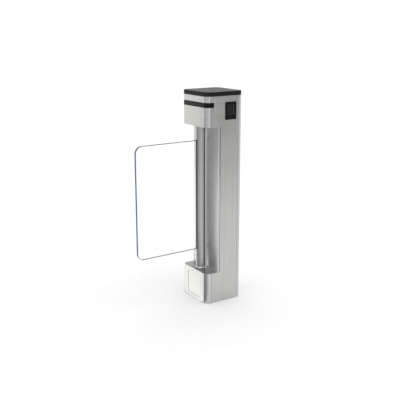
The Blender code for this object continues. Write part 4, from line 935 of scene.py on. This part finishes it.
def reader():
    """The card reader: a bezel with one bed, a skirt behind it, a bar between window and light strip,
    the two panes, and a ledge."""
    low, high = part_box("reader_bezel")
    window_low, window_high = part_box("reader_window")
    light_low, light_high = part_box("reader_light")
    front = -0.1053
    back = -half_depth - seat_gap
    back_lip = 0.0025
    bed_chamfer = 0.0002
    bed_depth = 0.0016
    bed_low = (window_low.x - seat_gap, window_low.z - seat_gap)
    bed_high = (light_high.x + seat_gap, window_high.z + seat_gap)
    outer = rounded_outline((low.x, low.z), (high.x, high.z), 0.003)
    bed = rounded_outline(bed_low, bed_high, 0.0012)
    layers = [(back_lip, back), (0.0, back), *rolled_edge(front, 1, 0.0008)]
    inner = [(-support, front), (0.0, front + bed_chamfer), (0.0, front + bed_depth)]
    inner += [(support, front + bed_depth)]
    rings = np.concatenate([layered(outer, layers), layered(bed, inner)])
    lofted("reader_frame", rings, "y", [reader_plastic], "reader_bezel")

    inset = 0.0028
    slab("reader_skirt", "y", (low.x + inset, low.z + inset), (high.x - inset, high.z - inset),
         0.0010, 4, (back + 0.00005, high.y), 0.0003, reader_plastic)
    slack = 0.00002
    slab("reader_bar", "y", (window_high.x + seat_gap, bed_low[1] + slack),
         (light_low.x - seat_gap, bed_high[1] - slack), 0.0006, 3, (front, front + 0.00155), 0.0002,
         reader_plastic)
    slab("reader_pane", "y", (window_low.x, window_low.z), (window_high.x, window_high.z), 0.0010, 6,
         (window_low.y, window_high.y), 0.0002, window_gloss, "reader_window")
    slab("reader_strip", "y", (light_low.x, light_low.z), (light_high.x, light_high.z), 0.0008, 6,
         (light_low.y, light_high.y), 0.0002, strip_opal, "reader_light")
    aside = 0.003
    foot = low.z + 0.006
    slab("reader_ledge", "y", (low.x + aside, foot), (high.x - aside, foot + 0.004), 0.0012, 6,
         (low.y, front - 0.00003), 0.0006, reader_plastic)


# Tube and wing


def tube():
    """The pivot tube: a circle in plan times four heights, without the cells of the wing's slot. The
    collar at its foot is a turned ring."""
    low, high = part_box("pivot_tube")
    wing_low, wing_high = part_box("wing_panel")
    slot_half = 0.0069
    end_gap = 0.0012
    half_angle = np.degrees(np.arcsin(slot_half / tube_radius))
    path = np.vstack([
        arc((tube_axis, 0), tube_radius, -180 + half_angle, 180 - half_angle, tube_steps),
        [(tube_axis - tube_radius, 0)],
    ])
    levels = [low.z, wing_low.z - end_gap, wing_high.z + end_gap, high.z]
    hole = ((-everywhere, -slot_half, levels[1]), (tube_axis, slot_half, levels[2]))
    folded_sheet("tube_skin", path, levels, tube_steel, "pivot_tube", [hole],
                 tube_wall, "wing", wrap=True)
    low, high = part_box("tube_collar")
    inner = tube_radius + seat_gap
    outer = high.y
    height = high.z - low.z
    bore_edge = 0.0004
    foot_edge = 0.0003
    chamfer = 0.001
    profile = [(inner, height - bore_edge), (inner + bore_edge, height), (outer - chamfer, height)]
    profile += [(outer - 0.3 * chamfer, height - 0.3 * chamfer), (outer, height - chamfer)]
    profile += [(outer, foot_edge), (outer - foot_edge, 0.0), (inner, 0.0)]
    turned("collar_ring", profile, (tube_axis, 0, low.z), "z", 96, collar_steel,
           "tube_collar", "wing")


def wing():
    """The clear wing: an outline across Y with round corners on its free edge. Its two faces are clear,
    and its polished edge, with a narrow band beside it on each face, carries the rim's painted light and
    shade, blue for light trapped in the sheet. Its gasket is a channel along its root."""
    low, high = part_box("wing_panel")
    radius = 0.033
    steps = 28
    outline = np.vstack([
        [(high.x, low.z), (high.x, high.z)],
        arc((low.x + radius, high.z - radius), radius, 90, 180, steps),
        arc((low.x + radius, low.z + radius), radius, 180, 270, steps),
    ])
    edge = 0.0008
    # A narrow band beside the edge on each face is given the rim's painted light
    painted_glow_band = edge + support + 0.0009
    rings = layered(outline, [(painted_glow_band, low.y), *rounded_layers(low.y, high.y, edge), (painted_glow_band, high.y)])
    count, size = rings.shape[:2]
    marks = [np.ones((count - 1) * size, int), [0], [0]]
    lofted("wing_sheet", rings, "y", [clear_acrylic, blue_edge], "wing_panel", "wing",
           marks)
    low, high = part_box("wing_gasket")
    path = np.array([(low.x, low.y), (high.x, low.y), (high.x, high.y), (low.x, high.y)])
    folded_sheet("gasket_channel", path, [low.z, high.z], seal_rubber, "wing_gasket",
                 thickness=0.0013, body="wing")


# Small pieces


six_sides = np.pi / 3
seat_lift = 0.00005


def six_sided(angle, flat):
    """The radius of a six-sided socket: its half width over the cosine of the angle from a flat's
    middle."""
    return flat / np.cos(angle % six_sides - six_sides / 2)


def key_shaped(angle, half_slot, half_length):
    """The radius of a narrow slot: the nearer of its side and its end in that direction."""
    least = 1e-6
    side = half_slot / np.maximum(np.abs(np.cos(angle)), least)
    end = half_length / np.maximum(np.abs(np.sin(angle)), least)
    return np.minimum(side, end)


def headed(name, place, profile, opening, depth, finish, side=1, steps=24, node=None,
           body="cabinet"):
    """A round head that looks along X, with an opening sunk in its face: rings up its side, in over its
    face and down into the opening. place is the middle of its seat, and side is -1 where it looks
    towards the lane. opening holds a function and the lengths it takes."""
    angle = np.linspace(0, 2 * np.pi, steps, endpoint=False) + np.pi / steps
    x, y, z = place
    top = profile[-1][1]
    shape = opening[0](angle, *opening[1:])
    reaches = [(np.full(steps, radius), rise) for radius, rise in profile]
    reaches += [(shape * 1.08, top), (shape, top - 0.12 * depth), (shape, top - depth)]
    rings = []
    for reach, rise in reaches:
        level = np.full(steps, x + side * rise)
        rings.append(np.column_stack([y + reach * np.cos(angle), z + reach * np.sin(angle), level]))
    lofted(name, np.array(rings), "x", [finish], node, body)


def socket_screw(name, place, radius, side=1):
    """A flat screw head with a six-sided socket."""
    height = 0.55 * radius
    profile = [(0.98 * radius, 0.0), (radius, 0.08 * height), (radius, 0.75 * height)]
    profile += [(0.86 * radius, height)]
    headed(name, place, profile, (six_sided, 0.42 * radius), 0.6 * height, screw_steel,
           side)


def slotted_screw(name, place, radius):
    """A small clamp screw with a slot across its head."""
    height = 0.7 * radius
    profile = [(radius, 0.0), (radius, 0.85 * height), (0.9 * radius, height)]
    headed(name, place, profile, (key_shaped, 0.16 * radius, 0.8 * radius), 0.5 * height, screw_steel)


def comb_outline(low, high, count, reach):
    """A rectangle with a row of teeth on each side, like the leads of a chip, counter-clockwise."""
    corners = np.array([(low[0], low[1]), (high[0], low[1]), (high[0], high[1]), (low[0], high[1])])
    outward = np.array([(0, -1), (1, 0), (0, 1), (-1, 0)])
    runs = []
    for k in range(4):
        start = corners[k]
        run = corners[(k + 1) % 4] - start
        near = start + run * ((np.arange(count) + 0.28) / count)[:, None]
        far = start + run * ((np.arange(count) + 0.72) / count)[:, None]
        out = reach * outward[k]
        runs.append(np.stack([near, near + out, far + out, far], axis=1).reshape(-1, 2))
    return np.vstack(runs)


def chip(name, middle, face, size, height, leads):
    """A chip: a comb of tinned leads on the board and its black case over them."""
    low = np.array(middle) - size / 2
    high = np.array(middle) + size / 2
    lead = 0.00025
    reach = 0.0014
    comb = comb_outline(low, high, leads, reach)
    rings = layered(comb, [(0.0, face + seat_lift), (0.0, face + lead)])
    lofted(name + "_leads", rings, "x", [solder_tin])
    slab(name + "_case", "x", low, high, 0.0008, 4, (face + lead + seat_lift, face + height), 0.0003,
         case_plastic)


def capacitor(name, y, z, face, radius, height):
    """A capacitor can: a sleeve with a crimped groove, a rolled top edge and a sunk end."""
    groove = 0.08 * radius
    profile = [(0.0, 0.0), (radius, 0.0), (radius, 0.14 * height), (radius - groove, 0.19 * height)]
    profile += [(radius, 0.24 * height), (radius, 0.95 * height), (0.94 * radius, height)]
    profile += [(0.86 * radius, height), (0.84 * radius, 0.985 * height), (0.0, 0.985 * height)]
    turned(name, profile, (y, z, face + seat_lift), "x", 32, sleeve)


def signal_lamp(name, y, z, finish, face):
    """A small signal lamp: a collar and a dome on a short neck."""
    radius = 0.0015
    collar = 0.0019
    collar_height = 0.0008
    neck = 0.0022
    angle = np.radians(np.linspace(0, 90, 7))
    dome = list(zip(radius * np.cos(angle), neck + radius * np.sin(angle)))
    profile = [(0.0, 0.0), (collar, 0.0), (collar, collar_height), (radius, collar_height), *dome]
    turned(name, profile, (y, z, face + seat_lift), "x", 20, finish)


def electronics():
    """The control board with its parts, in place of its plain solid, on four six-sided posts."""
    low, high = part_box("control_board")
    stand = 0.008
    thickness = 0.0016
    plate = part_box("equipment_plate")[0].x + sheet + seat_gap
    back = plate + stand
    face = back + thickness
    seat = face + seat_lift
    middle_z = (low.z + high.z) / 2
    slab("board_sheet", "x", (low.y, low.z), (high.y, high.z), 0.002, 6, (back, face), 0.00025,
         board_mask, "control_board")

    inset = 0.008
    corner = (high.y - inset, (high.z - low.z) / 2 - inset)
    bore = 0.0019
    radius = 0.0040
    length = back - plate - seat_lift
    post = [(bore, 0.0), (radius, 0.0), (radius, length), (bore, length)]
    for k, (side, way) in enumerate(((-1, -1), (1, -1), (-1, 1), (1, 1))):
        y = side * corner[0]
        z = middle_z + way * corner[1]
        turned(f"board_post_{k + 1}", post, (y, z, plate), "x", 6, solder_tin)
        socket_screw(f"board_screw_{k + 1}", (seat, y, z), 0.0028)

    pitch = 0.026
    half = 0.008
    foot = high.z - 0.030
    head = high.z - 0.010
    lamp_z = high.z - 0.0345
    for k in range(4):
        y = pitch * (k - 1.5)
        slab(f"relay_{k + 1}", "x", (y - half, foot), (y + half, head), 0.001, 5, (seat, high.x), 0.0007,
             relay_plastic)
        signal_lamp(f"relay_lamp_{k + 1}", y, lamp_z, lens_red if k % 2 else lens_green, face)

    chip("main_chip", (-0.012, middle_z + 0.006), face, size=0.022, height=0.0024, leads=14)
    chip("drive_chip", (0.026, middle_z + 0.012), face, size=0.013, height=0.0021, leads=9)
    aside = 0.042
    lowest = middle_z - 0.038
    pitch = 0.014
    for k in range(3):
        capacitor(f"capacitor_{k + 1}", aside, lowest + pitch * k, face, radius=0.0052, height=0.011)
    left = -0.050
    right = -0.0465
    foot = middle_z - 0.034
    head = middle_z - 0.027
    pitch = 0.0065
    height = 0.0013
    for k in range(6):
        slab(f"resistor_{k + 1}", "x", (left + pitch * k, foot), (right + pitch * k, head), 0.0004, 4,
             (seat, face + height), 0.0003, case_plastic)

    foot = low.z + 0.005
    size = 0.010
    mouth = 0.0062
    slope = 0.0035
    half = 0.040
    chamfer = 0.0003
    profile = np.array([
        (seat, foot),
        (face + mouth, foot),
        (face + size, foot + slope),
        (face + size, foot + size),
        (seat, foot + size),
    ])
    ends = [(chamfer, -half), (0.0, -half + chamfer), (0.0, half - chamfer), (chamfer, half)]
    lofted("plug_bar", layered(profile, ends), "y", [terminal_plastic])
    pitch = 0.0095
    screw_z = foot + 0.0068
    for k in range(8):
        place = (face + size + seat_lift, pitch * (k - 3.5), screw_z)
        slotted_screw(f"plug_screw_{k + 1}", place, 0.0019)


def plate_fittings():
    """Screws of the terminal strip's wells, of the power supply and of the mounting plate, and the
    supply's terminal block."""
    low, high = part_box("terminal_strip")
    wells = 10
    depth = 0.008
    pitch = (high.y - low.y) / wells
    well_floor = high.x - depth + seat_lift
    for k in range(wells):
        place = (well_floor, pitch * (k - (wells - 1) / 2), (low.z + high.z) / 2)
        slotted_screw(f"terminal_screw_{k + 1}", place, 0.0026)

    low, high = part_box("power_supply")
    inset = 0.006
    seat = high.x + seat_lift
    k = 0
    for y in (low.y + inset, high.y - inset):
        for z in (low.z + inset, high.z - inset):
            k += 1
            socket_screw(f"supply_screw_{k}", (seat, y, z), 0.0026)
    foot = high.z - 0.026
    size = 0.013
    half = 0.034
    height = 0.006
    pitch = 0.009
    slab("supply_terminals", "x", (-half, foot), (half, foot + size), 0.001, 4,
         (seat, high.x + height), 0.0004, case_plastic)
    for k in range(7):
        place = (high.x + height + seat_lift, pitch * (k - 3), foot + size / 2)
        slotted_screw(f"supply_terminal_{k + 1}", place, 0.0024)

    low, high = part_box("equipment_plate")
    seat = low.x + sheet + seat_lift
    span = 0.062
    inset = 0.025
    lower = 0.060
    k = 0
    for z in (low.z + inset, (low.z + high.z) / 2 - lower, high.z - inset):
        for y in (-span, span):
            k += 1
            socket_screw(f"plate_screw_{k}", (seat, y, z), 0.0032)


def lock_barrel():
    """The lock: a round head with a bevelled edge and a keyway, over its barrel."""
    low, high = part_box("door_lock")
    head = (high.y - low.y) / 2
    barrel = 0.0075
    barrel_edge = 0.0005
    bevel = 0.0007
    sunk = 0.0002
    length = high.x - low.x
    under = length - 0.0018
    middle = (low.x, (low.y + high.y) / 2, (low.z + high.z) / 2)
    profile = [(barrel - barrel_edge, 0.0), (barrel, barrel_edge), (barrel, under), (head, under)]
    profile += [(head, length - bevel), (head - bevel, length), (0.72 * head, length)]
    profile += [(0.70 * head, length - sunk), (0.62 * head, length - sunk)]
    headed("lock_barrel", middle, profile, (key_shaped, 0.0008, 0.0040), 0.0016, lock_steel,
           steps=48, node="door_lock", body="door")


def cover_screw():
    """The small dark screw above the access cover, on the lane face of the base."""
    above = 0.0068
    aside = 0.0150
    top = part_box("base_access_cover")[1].z
    socket_screw("cover_screw", (base_low.x - seat_lift, aside, top + above), 0.0026, -1)


# Stage


def studio_finish(name, colour):
    """A plain finish for the floor and for the card beside the stage."""
    look = Look(name)
    base = look.mix(look.noise(3.0, 2.0, 0.5), colour, toned(colour, 1.0, 0.01))
    return look.shade(base, 0.9, {"Specular IOR Level": 0.1})


def stage_piece(name, points, faces, finish, seen=False):
    """A surface of the stage. One that isn't seen is hidden from the camera, lights nothing dull and
    casts no shadow, and reflections still show it."""
    mesh = bpy.data.meshes.new(name)
    mesh.from_pydata(points, [], faces)
    mesh.materials.append(finish)
    made = bpy.data.objects.new(name, mesh)
    made.visible_camera = seen
    made.visible_diffuse = seen
    made.visible_shadow = seen
    bpy.context.collection.objects.link(made)
    return made


# What the round steel mirrors of the studio, seen from the cabinet's front corner: a row of
# brightnesses for each distance, with one for each compass heading
fan_centre = (-0.101, -0.078)
fan_headings = (60, 84, 96, 118, 127, 133, 142, 160, 182, 203, 224, 246, 264)
fan_distances = (0.02, 0.45, 0.62, 0.9, 2.0, 3.1, 4.0, 6.0, 30.0)
fan_tones = (
    (0.25, 0.25, 1.38, 1.42, 1.40, 0.80, 0.10, 0.10, 0.14, 0.24, 0.34, 0.58, 0.85),
    (0.25, 0.25, 1.38, 1.42, 1.40, 0.80, 0.12, 0.12, 0.18, 0.26, 0.38, 0.64, 0.90),
    (0.25, 0.40, 1.45, 1.45, 1.10, 0.30, 0.20, 0.24, 0.30, 0.44, 0.54, 0.78, 0.95),
    (1.20, 1.30, 1.35, 1.30, 1.00, 0.28, 0.18, 0.32, 0.58, 0.78, 0.90, 0.95, 1.02),
    (1.20, 1.20, 1.20, 1.14, 0.90, 0.28, 0.18, 0.34, 0.60, 0.80, 0.93, 0.97, 1.02),
    (1.10, 1.05, 1.05, 0.98, 0.90, 0.30, 0.20, 0.36, 0.50, 0.60, 0.65, 0.75, 1.00),
    (1.00, 0.96, 0.94, 0.92, 0.90, 0.34, 0.28, 0.28, 0.28, 0.28, 0.28, 0.36, 0.80),
    (1.00, 0.94, 0.92, 0.90, 0.88, 0.34, 0.26, 0.26, 0.26, 0.26, 0.26, 0.36, 0.80),
    (1.00, 0.94, 0.92, 0.90, 0.88, 0.34, 0.26, 0.26, 0.26, 0.26, 0.26, 0.36, 0.80),
)
fan_lift = 0.001
fan_columns = 103
fan_rows = 40


def mirrored_fan():
    """A fan just above the floor that only reflections show: a grid of headings and distances whose
    brightness is spread evenly between the given ones."""
    heading = np.linspace(fan_headings[0], fan_headings[-1], fan_columns)
    distance = np.geomspace(fan_distances[0], fan_distances[-1], fan_rows)
    along = np.array([np.interp(heading, fan_headings, row) for row in fan_tones])
    tone = np.array([np.interp(distance, fan_distances, column) for column in along.T])
    angle = np.radians(heading)[:, None]
    x = fan_centre[0] + distance * np.cos(angle)
    y = fan_centre[1] + distance * np.sin(angle)
    points = np.stack([x, y, np.full_like(x, fan_lift)], axis=-1).reshape(-1, 3)
    row, column = np.meshgrid(np.arange(fan_columns - 1), np.arange(fan_rows - 1), indexing="ij")
    a = (row * fan_rows + column).ravel()
    quads = np.column_stack([a, a + 1, a + fan_rows + 1, a + fan_rows])

    finish = bpy.data.materials.new("mirrored_fan_finish")
    finish.use_nodes = True
    nodes = Nodes(finish.node_tree)
    stored = nodes.add("Attribute", attribute_name="tone")["Fac"]
    reflected = nodes.carry(nodes.add("LightPath")["Glossy Depth"], 0.0, 1.0)
    inputs = {"Base Color": black, "Emission Color": white, "Emission Strength": stored}
    nodes.feed(finish.node_tree.nodes["Principled BSDF"], {**inputs, "Alpha": reflected})
    finish.cycles.emission_sampling = "NONE"
    made = stage_piece("mirrored_fan", points.tolist(), quads[:, ::-1].tolist(), finish)
    made.data.attributes.new("tone", "FLOAT", "POINT").data.foreach_set("value", tone.ravel())


def studio():
    """A pale floor, a white surround, and a grey card and the fan that only reflections show."""
    reach = 40.0
    floor = [(-reach, -reach, 0.0), (reach, -reach, 0.0), (reach, reach, 0.0), (-reach, reach, 0.0)]
    floor_finish = studio_finish("floor_finish", (0.955, 0.955, 0.955))
    stage_piece("floor", floor, [(0, 1, 2, 3)], floor_finish, True)
    left = 0.2
    right = 3.6
    front = -2.6
    top = 1.6
    upright = [(left, front, 0.0), (right, front, 0.0), (right, front, top), (left, front, top)]
    card_finish = studio_finish("grey_card_finish", (0.30, 0.30, 0.30))
    card = stage_piece("grey_card", upright, [(0, 1, 2, 3)], card_finish)
    card.visible_transmission = False
    world = bpy.data.worlds.new("surround")
    world.use_nodes = True
    ground = world.node_tree.nodes["Background"]
    ground.inputs["Color"].default_value = white
    ground.inputs["Strength"].default_value = 1.10
    bpy.context.scene.world = world
    mirrored_fan()
    bpy.context.scene.view_settings.view_transform = "Standard"


side_panels()
wrap_covers()
column_skin()
tray("access_cover_skin", "base_access_cover", -1, lane_steel)
tray("door_skin", "access_door", 1, panel_steel, "door")
top_cap()
band()
reader()
tube()
wing()
electronics()
plate_fittings()
lock_barrel()
cover_screw()
dress(deck_steel_painted_shade, "base_deck")
dress(floor_steel, "head_floor")
dress(zinc, "base_plate", "motor_bracket", "encoder_bracket", "equipment_plate", "hinge_bracket_upper",
      "hinge_bracket_lower", "lock_cam", "stop_arm", "shaft_retainer", "earth_stud")
dress(supply_case, "power_supply")
dress(casting, "foot_hub", "top_hub", "head_bearing_housing", "lower_bearing_housing",
      "deck_bearing_housing", "clamp_bar_near", "clamp_bar_far", "motor")
dress(shaft_steel, "swing_shaft", "top_pivot", "drive_gear", "head_bearing", "lower_bearing",
      "deck_bearing", "door_pin_upper", "door_pin_lower")
dress(motor_shaft_steel, "motor_shaft", "pinion")
dress(case_plastic, "encoder", "reader_module")
dress(soft_rubber, "cable_grommet", "bumper_near", "bumper_far")
dress(board_mask, "light_board")
dress(terminal_plastic, "terminal_strip")
studio()
